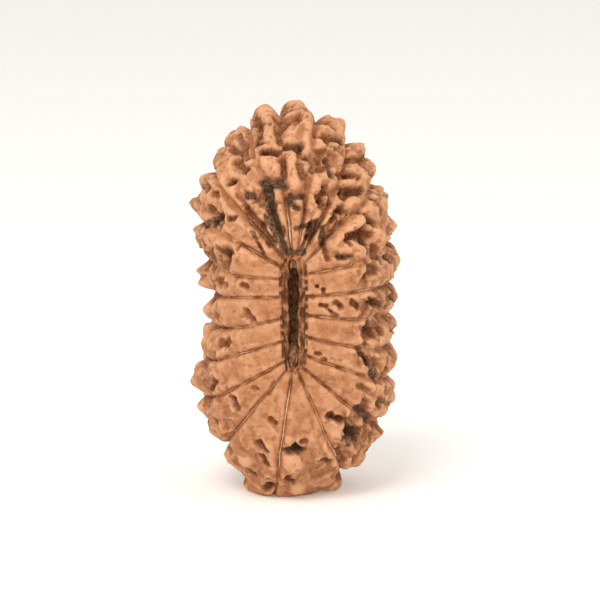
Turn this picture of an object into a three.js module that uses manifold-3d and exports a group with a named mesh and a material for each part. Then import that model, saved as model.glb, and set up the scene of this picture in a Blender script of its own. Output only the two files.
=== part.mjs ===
// A rudraksha bead of twenty-one faces, standing on its narrow end.
// Twenty-one fine grooves run over it from a slit on the front to a shorter slit on the back.
// Each face between two grooves is a low crown that carries rough knobs with pits between them, and
// all but the smooth plates near the slits is broken up further by crags: hollows with uneven walls.
// Units are millimetres, +Z is up, the long slit faces -Y, and the origin is under the middle.
import * as THREE from 'three';
import { mergeVertices } from 'three/addons/utils/BufferGeometryUtils.js';
import Module from 'manifold-3d';

// Driving dimensions
const FRONT_DEPTH = 8.5; // from the widest outline forward to the front slit
const BACK_DEPTH = 8.3; // from the widest outline back to the rear slit
const ROUNDNESS = 2.35; // exponent of the side profile: 2 is an ellipse, more is boxier
const SLIT_HEIGHT = 18.55; // height of the slits' middle
const BACK_SLIT_SHARE = 0.62; // length of the rear slit against the front one
const CROWN = 0.28; // rise of a face between its two grooves
const CROWN_WIDTH = 3; // a face narrower than this rises less
const PLATE_CROWN = 0.25; // share of the crown that the plates near the front slit keep
const GROOVE_DEPTH = 0.5;
const GROOVE_REACH = 0.3; // half width of a groove
const CLEFT_DEPTH = 0.4; // how much deeper the grooves are just above the front slit
const GROOVES_LOST = 0.9; // share of their depth that grooves lose where the front is craggiest
const BASE_DROP = 1; // what the ground takes off the lowest knobs, which leaves a flat spot
const COLOUR = 0xc58a5e;

// Knobs and pits in rows along each face, on the rim, the sides and the back
const KNOB_SPACING = 2.5;
const KNOB_HEIGHT = 0.85;
const KNOB_RADIUS = 1.45;
const PIT_DEPTH = 0.55;
const PIT_RADIUS = 0.95;
const SIZE_LEAST = 0.8; // sizes are scattered from this share
const SIZE_SPREAD = 0.35; // by this much more
const LANE_WIDTH = 2.9; // a face as wide as two lanes carries two rows of knobs
const LANE_SCATTER = 0.35; // how far knobs stray across their lane, as a share of it
const ROW_SCATTER = 0.6; // and along it, as a share of their spacing
const PIT_ASIDE = 0.3; // from a knob's lane to the pit beside it, as a share of the lane
const LANES_FROM = 0.37; // where the rows of knobs begin and end, as shares of the way
const LANES_TO = 0.93; // from the front slit to the rear one

// Crags: space is split into uneven cells, and those that the surface crosses are hollow, plain or raised
const CELL = 1.75;
const HOLLOW_SHARE = 0.48; // share of the cells that are hollow
const HOLLOW_DEPTH = 0.6;
const RAISED_SHARE = 0.28;
const RAISED_HEIGHT = 0.2;
const WALL_HEIGHT = 0.12;
const WALL_REACH = 0.5; // from a cell's wall to its full depth
const BEND = 0.36; // how far the cells' walls are bent
const BEND_RATE = 2.2; // in radians to the millimetre
const SIDE_CRAGGINESS = 0.9; // of the sides and the back
const CRAGS_CLEAR = 1.3; // the crags end this far above the flat spot
const KNOB_CALM = 0.75; // share of the crags that the top of a knob loses
const GROOVE_CALM = 0.65; // and that a groove loses

// Shares of the way from the front slit, 0, over the widest outline, 0.5, to the rear slit, 1
const PLATES_END = 0.1; // where the smooth plates begin to rise into crowns
const CROWNS_FULL = 0.4;
const KNOBS_FULL = 0.1; // how far from the front slit, and from the rear one, relief has full height
const KNOBS_FULL_REAR = 0.08;
const GROOVES_FULL = 0.06;
const CRAGS_FADE = 0.12; // the crags grow over this stretch
const CLEFTS_FROM = 0.14; // the clefts above the front slit end between these
const CLEFTS_TO = 0.26;
const ROWS_LOW = 0.28; // the knobs in rows rise to their full height between these
const ROWS_FULL = 0.64;
const RIM_START = 0.42; // the rim, where the front's cragginess gives way to that of the sides
const RIM_END = 0.58;

// The mesh: how far apart the columns of a face are, and rows from the front slit to the rear one
const COLUMN_STEP = 0.8;
const FLANK = 0.42; // from a groove to the column on either side of it
const OUTER_ROWS = 38;

// Where each groove starts on the front slit's lip, where it crosses the widest outline, how far it
// bows clockwise on the way, where beside it the front turns craggy, and how craggy it gets.
// Clockwise from the top as the front is seen.
const [LIP_X, LIP_Z, EDGE_X, EDGE_Z, BOW, CRAGS_FROM, CRAGGINESS] = [0, 1, 2, 3, 4, 5, 6];
const GROOVES = [
  [-0.1, 23.8, -1.3, 35.5, 0, 0.1, 1],
  [0.35, 23.8, 2.1, 35.1, 0, 0.1, 1],
  [0.7, 23.6, 4.7, 33.0, 0.6, 0.09, 1],
  [0.95, 23.1, 7.2, 29.2, 0, 0.1, 1],
  [1.05, 22.1, 8.7, 24.1, 0.3, 0.13, 0.9],
  [1.1, 20.2, 8.8, 20.1, -0.2, 0.2, 0.6],
  [1.1, 18.5, 8.5, 17.4, -0.1, 0.18, 0.8],
  [1.05, 16.6, 8.6, 14.6, 0, 0.17, 0.85],
  [1.0, 15.0, 8.7, 11.6, 0, 0.18, 0.85],
  [0.8, 13.9, 7.7, 7.5, 0, 0.17, 0.9],
  [0.4, 13.5, 4.5, 2.5, -0.3, 0.18, 0.45],
  [-0.1, 13.4, -1.8, 0.2, 0.1, 0.2, 0.32],
  [-0.65, 13.6, -6.1, 5.0, 0.6, 0.2, 0.4],
  [-0.9, 14.4, -8.2, 9.7, 0.1, 0.24, 0.45],
  [-1.0, 16.2, -8.1, 13.2, 0.4, 0.24, 0.45],
  [-1.0, 18.2, -7.2, 16.1, 0.4, 0.24, 0.5],
  [-1.05, 20.1, -7.3, 19.2, 0.3, 0.22, 0.6],
  [-1.1, 21.7, -7.7, 22.5, -0.3, 0.16, 0.75],
  [-1.0, 22.8, -8.2, 25.8, 0.4, 0.12, 0.95],
  [-0.75, 23.5, -7.2, 30.2, 0, 0.12, 0.95],
  [-0.42, 23.7, -4.1, 34.1, 0, 0.1, 1],
];
const FACES = GROOVES.length;

// The slit's wall from the rear lip to the front one: share of the lip's width and length, and depth
const CHANNEL = [
  { wide: 0.45, long: 0.92, y: BACK_DEPTH - 0.5 },
  { wide: 0.5, long: 0.6, y: BACK_DEPTH / 2 },
  { wide: 0.5, long: 0.6, y: -FRONT_DEPTH / 2 },
  { wide: 0.42, long: 0.92, y: 0.5 - FRONT_DEPTH },
];

// Lengths on the front are given as they look from in front, from a little above, in millimetres
// across from the middle and up from the ground.
const EYE = {
  rise: (10 * Math.PI) / 180,
  distance: 260,
  x: 0.6,
  z: 18.4,
  height: 17.9, // how high the aimed point looks
};

// Tips of the knobs that stand out all round the widest outline
const RIM_TIPS = [
  [0.5, 35.9], [-2.5, 35.6], [-4.9, 34.3], [-6.6, 32.6], [-8.3, 29.4], [-9.5, 26.7], [-9.4, 24.6],
  [-8.9, 20.8], [-8.7, 19.5], [-8.2, 17.2], [-8.8, 14.0], [-9.5, 10.3], [-8.9, 8.3],
  [-8.1, 6.9], [-6.4, 3.1], [-3.8, 0.3], [0.9, -0.2], [4.4, 0.7], [6.5, 3.0],
  [8.6, 6.1], [9.3, 9.0], [9.4, 10.6], [9.2, 13.8], [9.3, 15.6], [9.4, 17.8],
  [9.2, 19.3], [9.5, 21.5], [9.4, 23.2], [9.2, 24.6], [8.9, 27.3], [7.7, 29.2],
  [6.1, 32.4], [4.4, 33.8], [2.7, 35.5],
];

// Knobs on the front, as [x, z, radius, height]
const FRONT_KNOBS = [
  [-2.4, 35.0, 1.0, 0.5], [0.1, 35.2, 1.2, 0.6], [-4.6, 32.5, 1.1, 0.4], [-0.2, 33.2, 0.9, 0.4],
  [7.0, 26.3, 0.9, 0.5], [7.3, 23.6, 1.0, 0.7], [6.0, 31.9, 0.8, 0.6], [-3.4, 26.2, 0.8, 0.45],
  [-5.6, 24.4, 0.8, 0.35], [-7.3, 23.9, 0.9, 0.4], [-6.6, 21.8, 0.9, 0.3], [-7.2, 16.8, 0.9, 0.3],
  [7.7, 17.2, 0.8, 0.4], [7.6, 12.6, 0.9, 0.4], [6.8, 10.0, 0.9, 0.4], [3.8, 5.8, 1.0, 0.4],
  [7.4, 5.9, 0.8, 0.5], [-4.2, 3.4, 1.1, 0.5], [-0.3, 5.2, 0.7, 0.5], [-0.3, 3.1, 1.4, 0.6],
  [-3.8, 1.4, 0.9, 0.5], [4.1, 1.9, 0.9, 0.7], [2.3, 3.5, 1.0, 0.3], [-6.0, 4.9, 0.9, 0.3],
  [-8.2, 11.2, 0.9, 0.3],
];

// Ridges on the front, as [x, z] of both ends, radius and height
const FRONT_RIDGES = [
  [-2.5, 34.6, -2.0, 32.5, 0.9, 0.45], [-3.7, 33.3, -3.5, 31.2, 0.8, 0.4], [1.4, 33.8, 1.2, 31.3, 0.9, 0.4],
  [-2.7, 30.1, -1.6, 30.0, 0.9, 0.5], [-0.4, 30.7, 0.2, 28.5, 0.8, 0.5], [-1.4, 27.6, -0.7, 25.0, 0.7, 0.35],
  [-6.3, 28.2, -4.6, 25.4, 1.1, 0.45], [-4.6, 25.2, -2.2, 22.6, 0.8, 0.5], [3.1, 27.0, 1.6, 24.0, 0.7, 0.4],
  [5.9, 25.2, 3.6, 23.4, 0.8, 0.6], [3.8, 22.8, 5.9, 22.4, 0.7, 0.45], [3.5, 28.3, 4.0, 26.8, 0.9, 0.45],
  [5.0, 26.5, 7.4, 26.4, 0.9, 0.45], [1.2, 28.5, 2.7, 28.6, 0.8, 0.4], [4.6, 30.1, 6.1, 29.0, 0.7, 0.4],
];

// Pits on the front, as [x, z, radius, depth]
const FRONT_PITS = [
  [-3.0, 33.8, 0.7, 0.6], [-2.1, 31.3, 0.9, 0.8], [-0.4, 31.8, 1.0, 0.8], [-5.2, 31.2, 0.7, 0.5],
  [-4.7, 29.9, 0.8, 0.6], [3.2, 33.1, 0.9, 0.6], [5.4, 30.1, 0.9, 0.7], [1.9, 29.6, 0.7, 0.5],
  [3.2, 29.4, 0.8, 0.7], [4.8, 28.9, 0.8, 0.5], [5.2, 27.5, 0.8, 0.7], [0.1, 27.1, 0.8, 0.8],
  [-1.9, 26.8, 0.9, 0.7], [-3.8, 27.1, 0.7, 0.6], [2.5, 26.8, 0.6, 0.6], [6.6, 25.0, 0.8, 0.7],
  [5.4, 23.7, 0.9, 0.5], [4.4, 21.6, 0.7, 0.5], [-7.3, 26.0, 0.8, 0.6], [-5.7, 25.4, 0.8, 0.5],
  [-6.4, 22.2, 0.9, 0.5], [-3.4, 23.2, 0.9, 0.5], [7.1, 20.4, 0.9, 0.6], [-4.3, 16.8, 0.8, 0.5],
  [7.1, 15.1, 0.8, 0.6], [-7.7, 14.2, 0.8, 0.4], [-6.1, 13.9, 0.8, 0.5], [-7.3, 10.3, 0.7, 0.5],
  [-5.2, 8.4, 0.8, 0.6], [6.3, 9.8, 0.7, 0.5], [3.8, 7.3, 0.9, 0.6], [5.5, 5.8, 1.0, 0.7],
  [0.3, 4.4, 0.7, 0.7], [2.7, 3.3, 0.7, 0.6], [-3.0, 4.9, 0.8, 0.6], [-2.8, 3.4, 0.7, 0.5],
  [-2.9, 24.6, 0.7, 0.5], [-0.9, 29.8, 0.6, 0.5],
];

// A number from 0 to 1 that is always the same for the same two whole numbers.
function chance(a, b) {
  const spun = Math.sin(a * 127.1 + b * 311.7) * 43758.5453;
  return spun - Math.floor(spun);
}

function smooth(from, to, value) {
  const share = Math.min(1, Math.max(0, (value - from) / (to - from)));
  return share * share * (3 - 2 * share);
}

// A value on the smooth closed line through one column of the groove table, a groove to a whole number.
function along(u, column) {
  const face = Math.floor(u);
  const share = u - face;
  const [a, b, c, d] = [-1, 0, 1, 2].map((step) => GROOVES[(face + step + FACES) % FACES][column]);
  const cubic = 3 * (b - c) + d - a;
  const square = 2 * a - 5 * b + 4 * c - d;
  return b + 0.5 * share * (c - a + share * (square + share * cubic));
}

// A point of the front slit's lip, drawn in towards the slit's middle.
function lip(u, wide, long, y) {
  const z = SLIT_HEIGHT + long * (along(u, LIP_Z) - SLIT_HEIGHT);
  return new THREE.Vector3(wide * along(u, LIP_X), y, z);
}

// The level direction clockwise along the outline.
function clockwise(u) {
  const step = 0.05;
  const [x, z] = [EDGE_X, EDGE_Z].map((column) => along(u + step, column) - along(u - step, column));
  return new THREE.Vector3(x, 0, z).normalize();
}

// The plain form: turn runs from 0 at the front lip, through 0.5 at the widest outline, to 1.
function outerPoint(u, turn) {
  const reach = Math.sin(Math.PI * turn) ** (2 / ROUNDNESS);
  const depth = Math.abs(Math.cos(Math.PI * turn)) ** (2 / ROUNDNESS);
  const front = turn < 0.5;
  const start = lip(u, 1, front ? 1 : BACK_SLIT_SHARE, 0);
  const outline = new THREE.Vector3(along(u, EDGE_X), 0, along(u, EDGE_Z));
  const point = start.lerp(outline, reach);
  point.y = front ? -FRONT_DEPTH * depth : BACK_DEPTH * depth;
  return front ? point.addScaledVector(clockwise(u), along(u, BOW) * Math.sin(2 * Math.PI * turn)) : point;
}

// Where a point looks to be from in front, as [across, up].
function seen(point) {
  const up = point.z - EYE.z;
  const away = EYE.distance + point.y * Math.cos(EYE.rise) - up * Math.sin(EYE.rise);
  const scale = EYE.distance / away;
  const across = EYE.x + (point.x - EYE.x) * scale;
  return [across, EYE.height + (point.y * Math.sin(EYE.rise) + up * Math.cos(EYE.rise)) * scale];
}

// Places on the front half, close together, with where each one looks to be.
function frontPlaces() {
  const places = [];
  for (let u = 0; u < FACES; u += 1 / 12) {
    for (let turn = 0.01; turn < 0.53; turn += 0.01) {
      const point = outerPoint(u, turn);
      places.push({ point, look: seen(point) });
    }
  }
  return places;
}

// The place on the front half that looks nearest to the given one, and how far off it looks.
function nearest(places, x, z) {
  let best = null;
  let distance = Infinity;
  for (const { point, look } of places) {
    const off = Math.hypot(look[0] - x, look[1] - z);
    if (off < distance) {
      distance = off;
      best = point;
    }
  }
  return { centre: best, distance };
}

// The knobs that follow from the tables: those on the rim reach out to their tips.
function tabledKnobs(places) {
  const rim = RIM_TIPS.map(([x, z]) => {
    const { centre, distance } = nearest(places, x, z);
    return { centre, radius: KNOB_RADIUS, height: Math.max(KNOB_HEIGHT / 2, distance - CROWN) };
  });
  return rim.concat(tabled(FRONT_KNOBS, places), tabledRidges(places));
}

function tabled(table, places) {
  return table.map(([x, z, radius, height]) => ({ centre: nearest(places, x, z).centre, radius, height }));
}

function tabledRidges(places) {
  return FRONT_RIDGES.map(([x1, z1, x2, z2, radius, height]) => {
    const line = new THREE.Line3(nearest(places, x1, z1).centre, nearest(places, x2, z2).centre);
    return { line, radius, height };
  });
}

function widthAt(face, turn) {
  return outerPoint(face, turn).distanceTo(outerPoint(face + 1, turn));
}

// How long the middle of a face is over the stretch that its lanes of knobs take.
function laneLength(face) {
  const steps = 12;
  let length = 0;
  for (let step = 0; step < steps; step += 1) {
    const [from, to] = [step, step + 1].map((n) => LANES_FROM + ((LANES_TO - LANES_FROM) * n) / steps);
    length += outerPoint(face + 0.5, from).distanceTo(outerPoint(face + 0.5, to));
  }
  return length;
}

// The knobs and pits of the rim, the sides and the back, in lanes along each face, with scattered sizes.
function lanedFeatures() {
  const knobs = [];
  const pits = [];
  for (let face = 0; face < FACES; face += 1) {
    const lanes = Math.max(1, Math.round(widthAt(face, 0.5) / LANE_WIDTH));
    const rows = Math.round(laneLength(face) / KNOB_SPACING);
    const stride = (LANES_TO - LANES_FROM) / rows;
    for (let lane = 0; lane < lanes; lane += 1) {
      for (let row = 0; row < rows; row += 1) {
        const key = face * 31 + lane * 7;
        const shift = chance(key, row) - 0.5;
        const size = SIZE_LEAST + SIZE_SPREAD * chance(key + 3, row + 5);
        const across = face + (lane + 0.5 + LANE_SCATTER * shift) / lanes;
        const turn = LANES_FROM + stride * (row + 0.5 * (lane % 2) + ROW_SCATTER * chance(row, key));
        const rise = KNOB_HEIGHT * size * smooth(ROWS_LOW, ROWS_FULL, turn);
        knobs.push({ centre: outerPoint(across, turn), radius: KNOB_RADIUS * size, height: rise });
        const beside = outerPoint(across + (PIT_ASIDE * Math.sign(shift)) / lanes, turn + 0.5 * stride);
        pits.push({ centre: beside, radius: PIT_RADIUS * size, height: PIT_DEPTH * size });
      }
    }
  }
  return { knobs, pits };
}

// How far a place is from a feature, which has a middle or runs along a line.
function away({ centre, line }, point) {
  const spot = line ? line.closestPointToPoint(point, true, new THREE.Vector3()) : centre;
  return spot.distanceTo(point);
}

// The height that many rounded features give a place: where two meet, the taller one leads.
function raised(features, point) {
  let sum = 0;
  for (const feature of features) {
    const share = away(feature, point) / feature.radius;
    if (share < 1) sum += (feature.height * (1 - smooth(0, 1, share))) ** 3;
  }
  return Math.cbrt(sum);
}

// The middle of one of the crags' cells.
function cellMiddle(i, j, k) {
  const x = i + chance(i + 17 * k, j);
  const y = j + chance(j + 29 * k, i + 0.5);
  const z = k + chance(k + 43 * i, j + 0.25);
  return new THREE.Vector3(x, y, z).multiplyScalar(CELL);
}

// How much nearer a place is to its own cell's middle than to the next one's, which is 0 on the wall
// between them, and a number from 0 to 1 for the cell.
function cellAt(point) {
  const [i, j, k] = point.toArray().map((value) => Math.floor(value / CELL));
  let [own, next, luck] = [Infinity, Infinity, 0];
  for (let a = i - 1; a <= i + 1; a += 1) {
    for (let b = j - 1; b <= j + 1; b += 1) {
      for (let c = k - 1; c <= k + 1; c += 1) {
        const distance = cellMiddle(a, b, c).distanceTo(point);
        if (distance < own) {
          next = own;
          own = distance;
          luck = chance(a + 61 * b, c + 0.75);
        } else {
          next = Math.min(next, distance);
        }
      }
    }
  }
  return { inward: next - own, luck };
}

// The height that the crags give a place, before it is known how craggy the place is.
function crags(point) {
  const bent = new THREE.Vector3(
    point.x + BEND * Math.sin(BEND_RATE * point.z + 1),
    point.y + BEND * Math.sin(BEND_RATE * (point.x + point.z) + 2),
    point.z + BEND * Math.sin(BEND_RATE * point.x + 3),
  );
  const { inward, luck } = cellAt(bent);
  const inside = smooth(0, WALL_REACH, inward);
  let level = 0;
  if (luck < HOLLOW_SHARE) level = -HOLLOW_DEPTH;
  if (luck > 1 - RAISED_SHARE) level = RAISED_HEIGHT;
  return level * inside + WALL_HEIGHT * (1 - inside);
}

function cragginess(u, turn, point) {
  const front = along(u, CRAGGINESS);
  const most = front + (SIDE_CRAGGINESS - front) * smooth(RIM_START, RIM_END, turn);
  const from = along(u, CRAGS_FROM) - 0.4 * CRAGS_FADE;
  const grown = smooth(from, from + CRAGS_FADE, turn) * smooth(0, CRAGS_FADE, 1 - turn);
  return most * grown * smooth(BASE_DROP, BASE_DROP + CRAGS_CLEAR, point.z);
}

// How far the surface stands out of the plain form at a place. Where the front is craggiest, just
// above the slit, the grooves start as deep clefts and are then lost among the crags.
function relief(u, turn, point, knobs, pits) {
  const face = Math.floor(u);
  const share = u - face;
  const width = widthAt(face, turn);
  const gap = Math.min(share, 1 - share) * width;
  const groove = Math.exp(-((gap / GROOVE_REACH) ** 2));
  const plate = 1 - smooth(PLATES_END, CROWNS_FULL, turn);
  const crown = CROWN * (1 - Math.abs(2 * share - 1) ** 3) * smooth(0, CROWN_WIDTH, width);
  const rough = cragginess(u, turn, point);
  const lost = GROOVES_LOST * smooth(0.55, 0.95, rough) * (1 - smooth(RIM_START, RIM_END, turn));
  const above = smooth(0.85, 1, along(u, CRAGGINESS));
  const cleft = CLEFT_DEPTH * above * (1 - smooth(CLEFTS_FROM, CLEFTS_TO, turn));
  const depth = (GROOVE_DEPTH * (1 - lost) + cleft) * smooth(0, GROOVES_FULL, turn);
  const nearSlit = smooth(0, KNOBS_FULL, turn) * smooth(0, KNOBS_FULL_REAR, 1 - turn);
  const knob = raised(knobs, point);
  const features = (knob - raised(pits, point)) * nearSlit;
  const calm = 1 - KNOB_CALM * smooth(0, KNOB_HEIGHT, knob);
  const broken = crags(point) * rough * calm * (1 - GROOVE_CALM * groove);
  return crown * (1 - (1 - PLATE_CROWN) * plate) + (1 - groove) * features + broken - depth * groove;
}

// The columns of the mesh: one in each groove, one on either flank of it, and even ones between.
function columnPlaces() {
  const columns = [];
  for (let face = 0; face < FACES; face += 1) {
    const width = widthAt(face, 0.5);
    const flank = FLANK / width;
    const steps = Math.max(2, Math.round((width - 2 * FLANK) / COLUMN_STEP));
    columns.push(face);
    for (let step = 0; step <= steps; step += 1) {
      columns.push(face + flank + ((1 - 2 * flank) * step) / steps);
    }
  }
  return columns;
}

// Every ring of the closed surface: the outside from front to back, then the slit's wall to the front.
function rings() {
  const made = [];
  for (let row = 0; row <= OUTER_ROWS; row += 1) {
    made.push({ turn: row / OUTER_ROWS, at: (u) => outerPoint(u, row / OUTER_ROWS) });
  }
  for (const { wide, long, y } of CHANNEL) {
    const share = y > 0 ? long * BACK_SLIT_SHARE : long;
    made.push({ turn: null, at: (u) => lip(u, wide, share, y) });
  }
  return made;
}

// The outward normal of the plain form on the outside.
function normalAt(u, turn) {
  const step = 0.004;
  const low = Math.max(0, turn - step);
  const high = Math.min(1, turn + step);
  const across = outerPoint(u + step, turn).sub(outerPoint(u - step, turn));
  const over = outerPoint(u, high).sub(outerPoint(u, low));
  return across.cross(over).normalize();
}

function beadGeometry() {
  const places = frontPlaces();
  const laned = lanedFeatures();
  const knobs = tabledKnobs(places).concat(laned.knobs);
  const pits = tabled(FRONT_PITS, places).concat(laned.pits);
  const columns = columnPlaces();
  const grid = rings().map(({ turn, at }) => columns.map((u) => {
    const point = at(u);
    if (turn === null) return point;
    return point.clone().addScaledVector(normalAt(u, turn), relief(u, turn, point, knobs, pits));
  }));

  const index = [];
  const across = columns.length;
  grid.forEach((ring, row) => {
    const next = grid[(row + 1) % grid.length];
    const [start, after] = [row * across, ((row + 1) % grid.length) * across];
    for (let column = 0; column < across; column += 1) {
      const beside = (column + 1) % across;
      const [a, b, c, d] = [start + column, start + beside, after + beside, after + column];
      const shorter = ring[column].distanceTo(next[beside]) < ring[beside].distanceTo(next[column]);
      index.push(...(shorter ? [a, b, c, a, c, d] : [a, b, d, b, c, d]));
    }
  });
  const positions = grid.flat().flatMap((point) => point.toArray());
  const geometry = new THREE.BufferGeometry();
  geometry.setAttribute('position', new THREE.Float32BufferAttribute(positions, 3));
  geometry.setIndex(index);
  return geometry;
}

const wasm = await Module();
wasm.setup();

function solidFrom(geometry) {
  const plain = geometry.clone();
  plain.deleteAttribute('normal');
  plain.deleteAttribute('uv');
  const merged = mergeVertices(plain, 1e-4);
  const vertProperties = merged.attributes.position.array;
  const triVerts = new Uint32Array(merged.index.array);
  return new wasm.Manifold(new wasm.Mesh({ numProp: 3, vertProperties, triVerts }));
}

function geometryFrom(solid) {
  const { vertProperties, triVerts } = solid.getMesh();
  const geometry = new THREE.BufferGeometry();
  geometry.setAttribute('position', new THREE.BufferAttribute(vertProperties, 3));
  geometry.setIndex(new THREE.BufferAttribute(triVerts, 1));
  return geometry;
}

// The ground takes off what would reach below it, and the bead is then set over the origin.
function standing(geometry) {
  const [breadth, thickness] = [60, 20];
  const ground = new THREE.BoxGeometry(breadth, breadth, thickness);
  ground.translate(0, 0, BASE_DROP - thickness / 2);
  const flattened = geometryFrom(solidFrom(geometry).subtract(solidFrom(ground)));
  flattened.computeBoundingBox();
  const middle = flattened.boundingBox.getCenter(new THREE.Vector3());
  flattened.translate(-middle.x, -middle.y, -BASE_DROP);
  flattened.computeVertexNormals();
  return flattened;
}

const finish = new THREE.MeshStandardMaterial({ color: COLOUR, roughness: 0.8, metalness: 0 });
finish.flatShading = true;
const bead = new THREE.Mesh(standing(beadGeometry()), finish);
bead.name = 'bead';

const rudraksha = new THREE.Group();
rudraksha.name = 'rudraksha';
rudraksha.add(bead);

export default rudraksha;
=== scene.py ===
"""Dresses a rudraksha bead: its fine shell of grooves, knobs and pits, and the fibres that lie on it.

The bead's shape is worked out in millimetres in its own frame, +Z up, with the long slit towards -Y.
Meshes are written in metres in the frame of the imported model.
"""

import itertools
import logging
import math
from dataclasses import dataclass, field
from enum import Enum

import bpy
import numpy as np
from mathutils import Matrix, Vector, kdtree, noise


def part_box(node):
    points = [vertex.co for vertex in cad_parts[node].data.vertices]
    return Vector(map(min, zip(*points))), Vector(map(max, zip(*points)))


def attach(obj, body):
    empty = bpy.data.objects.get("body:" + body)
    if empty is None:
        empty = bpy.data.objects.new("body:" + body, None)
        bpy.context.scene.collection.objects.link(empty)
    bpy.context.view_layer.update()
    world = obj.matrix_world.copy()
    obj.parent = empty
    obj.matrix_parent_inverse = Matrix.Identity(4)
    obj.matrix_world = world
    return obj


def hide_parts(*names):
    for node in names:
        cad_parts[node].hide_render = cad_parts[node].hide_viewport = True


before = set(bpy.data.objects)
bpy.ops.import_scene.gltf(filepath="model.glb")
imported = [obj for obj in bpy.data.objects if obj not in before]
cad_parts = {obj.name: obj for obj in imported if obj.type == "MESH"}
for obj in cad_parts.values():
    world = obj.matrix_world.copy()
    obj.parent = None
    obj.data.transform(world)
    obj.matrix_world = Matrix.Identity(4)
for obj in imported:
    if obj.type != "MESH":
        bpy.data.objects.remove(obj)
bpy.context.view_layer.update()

LOG = logging.getLogger("rudraksha")
MM = 0.001
BODY = "root"
NODE = "bead"

# Where each groove starts on the front slit's lip, where it crosses the widest outline, how far it
# bows clockwise on the way, where beside it the front turns craggy, and how craggy it gets: lip x,
# lip z, outline x, outline z, bow, craggy from, cragginess. Clockwise from the top.
GROOVES = (
    (-0.1, 23.8, -1.3, 35.5, 0.0, 0.10, 1.00),
    (0.35, 23.8, 2.1, 35.1, 0.0, 0.10, 1.00),
    (0.7, 23.6, 4.7, 33.0, 0.6, 0.09, 1.00),
    (0.95, 23.1, 7.2, 29.2, 0.0, 0.10, 1.00),
    (1.05, 22.1, 8.7, 24.1, 0.3, 0.13, 0.90),
    (1.1, 20.2, 8.8, 20.1, -0.2, 0.20, 0.60),
    (1.1, 18.5, 8.5, 17.4, -0.1, 0.18, 0.80),
    (1.05, 16.6, 8.6, 14.6, 0.0, 0.17, 0.85),
    (1.0, 15.0, 8.7, 11.6, 0.0, 0.18, 0.85),
    (0.8, 13.9, 7.7, 7.5, 0.0, 0.17, 0.90),
    (0.4, 13.5, 4.5, 2.5, -0.3, 0.18, 0.45),
    (-0.1, 13.4, -1.8, 0.2, 0.1, 0.20, 0.32),
    (-0.65, 13.6, -6.1, 5.0, 0.6, 0.20, 0.40),
    (-0.75, 14.4, -8.2, 9.7, 0.1, 0.24, 0.45),
    (-0.85, 16.2, -8.1, 13.2, 0.4, 0.24, 0.45),
    (-1.0, 18.2, -7.2, 16.1, 0.4, 0.24, 0.50),
    (-1.05, 20.1, -7.3, 19.2, 0.3, 0.22, 0.60),
    (-1.1, 21.7, -7.7, 22.5, -0.3, 0.16, 0.75),
    (-1.0, 22.8, -8.2, 25.8, 0.4, 0.12, 0.95),
    (-0.75, 23.5, -7.2, 30.2, 0.0, 0.12, 0.95),
    (-0.42, 23.7, -4.1, 34.1, 0.0, 0.10, 1.00),
)
FACES = len(GROOVES)

# Tips of the knobs that stand out all round the widest outline, as seen from in front: across, up.
RIM_TIPS = (
    (0.5, 35.9), (-2.5, 35.6), (-4.9, 34.3), (-6.6, 32.6), (-8.3, 29.4), (-9.5, 26.7), (-9.4, 24.6),
    (-8.9, 20.8), (-8.7, 19.5), (-8.2, 17.2), (-8.8, 14.0), (-9.5, 10.3), (-8.9, 8.3),
    (-8.1, 6.9), (-6.4, 3.1), (-3.8, 0.3), (0.9, -0.2), (4.4, 0.7), (6.5, 3.0),
    (8.6, 6.1), (9.3, 9.0), (9.4, 10.6), (9.2, 13.8), (9.3, 15.6), (9.4, 17.8),
    (9.2, 19.3), (9.5, 21.5), (9.4, 23.2), (9.2, 24.6), (8.9, 27.3), (7.7, 29.2),
    (6.1, 32.4), (3.9, 33.8), (2.3, 35.0),
)

# Knobs on the front, as seen from in front: across, up, radius, height.
FRONT_KNOBS = (
    (-2.4, 35.0, 1.0, 0.5), (0.1, 35.2, 1.2, 0.6), (-4.6, 32.5, 1.1, 0.4), (-0.2, 33.2, 0.9, 0.4),
    (7.0, 26.3, 0.8, 0.35), (7.3, 23.6, 1.0, 0.7), (6.0, 31.9, 0.8, 0.6), (-3.4, 26.2, 0.8, 0.45),
    (-5.6, 24.4, 0.8, 0.35), (-7.3, 23.9, 0.9, 0.4), (-6.6, 21.8, 0.9, 0.3), (-7.2, 16.8, 0.9, 0.3),
    (7.7, 17.2, 0.8, 0.4), (7.6, 12.6, 0.9, 0.4), (6.8, 10.0, 0.9, 0.4), (3.8, 5.8, 1.0, 0.4),
    (7.4, 5.9, 0.8, 0.5), (-4.2, 3.4, 1.1, 0.5), (-0.3, 5.2, 0.7, 0.5), (-0.3, 3.1, 1.4, 0.8),
    (-3.8, 1.4, 0.9, 0.5), (4.1, 1.9, 0.9, 0.7), (2.3, 3.5, 1.0, 0.3), (-6.0, 4.9, 0.9, 0.3),
    (8.4, 27.4, 0.8, 0.4), (0.3, 0.9, 1.2, 0.4), (-3.2, 1.0, 0.8, 0.3),
    (-8.2, 11.2, 0.9, 0.3),
)

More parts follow.
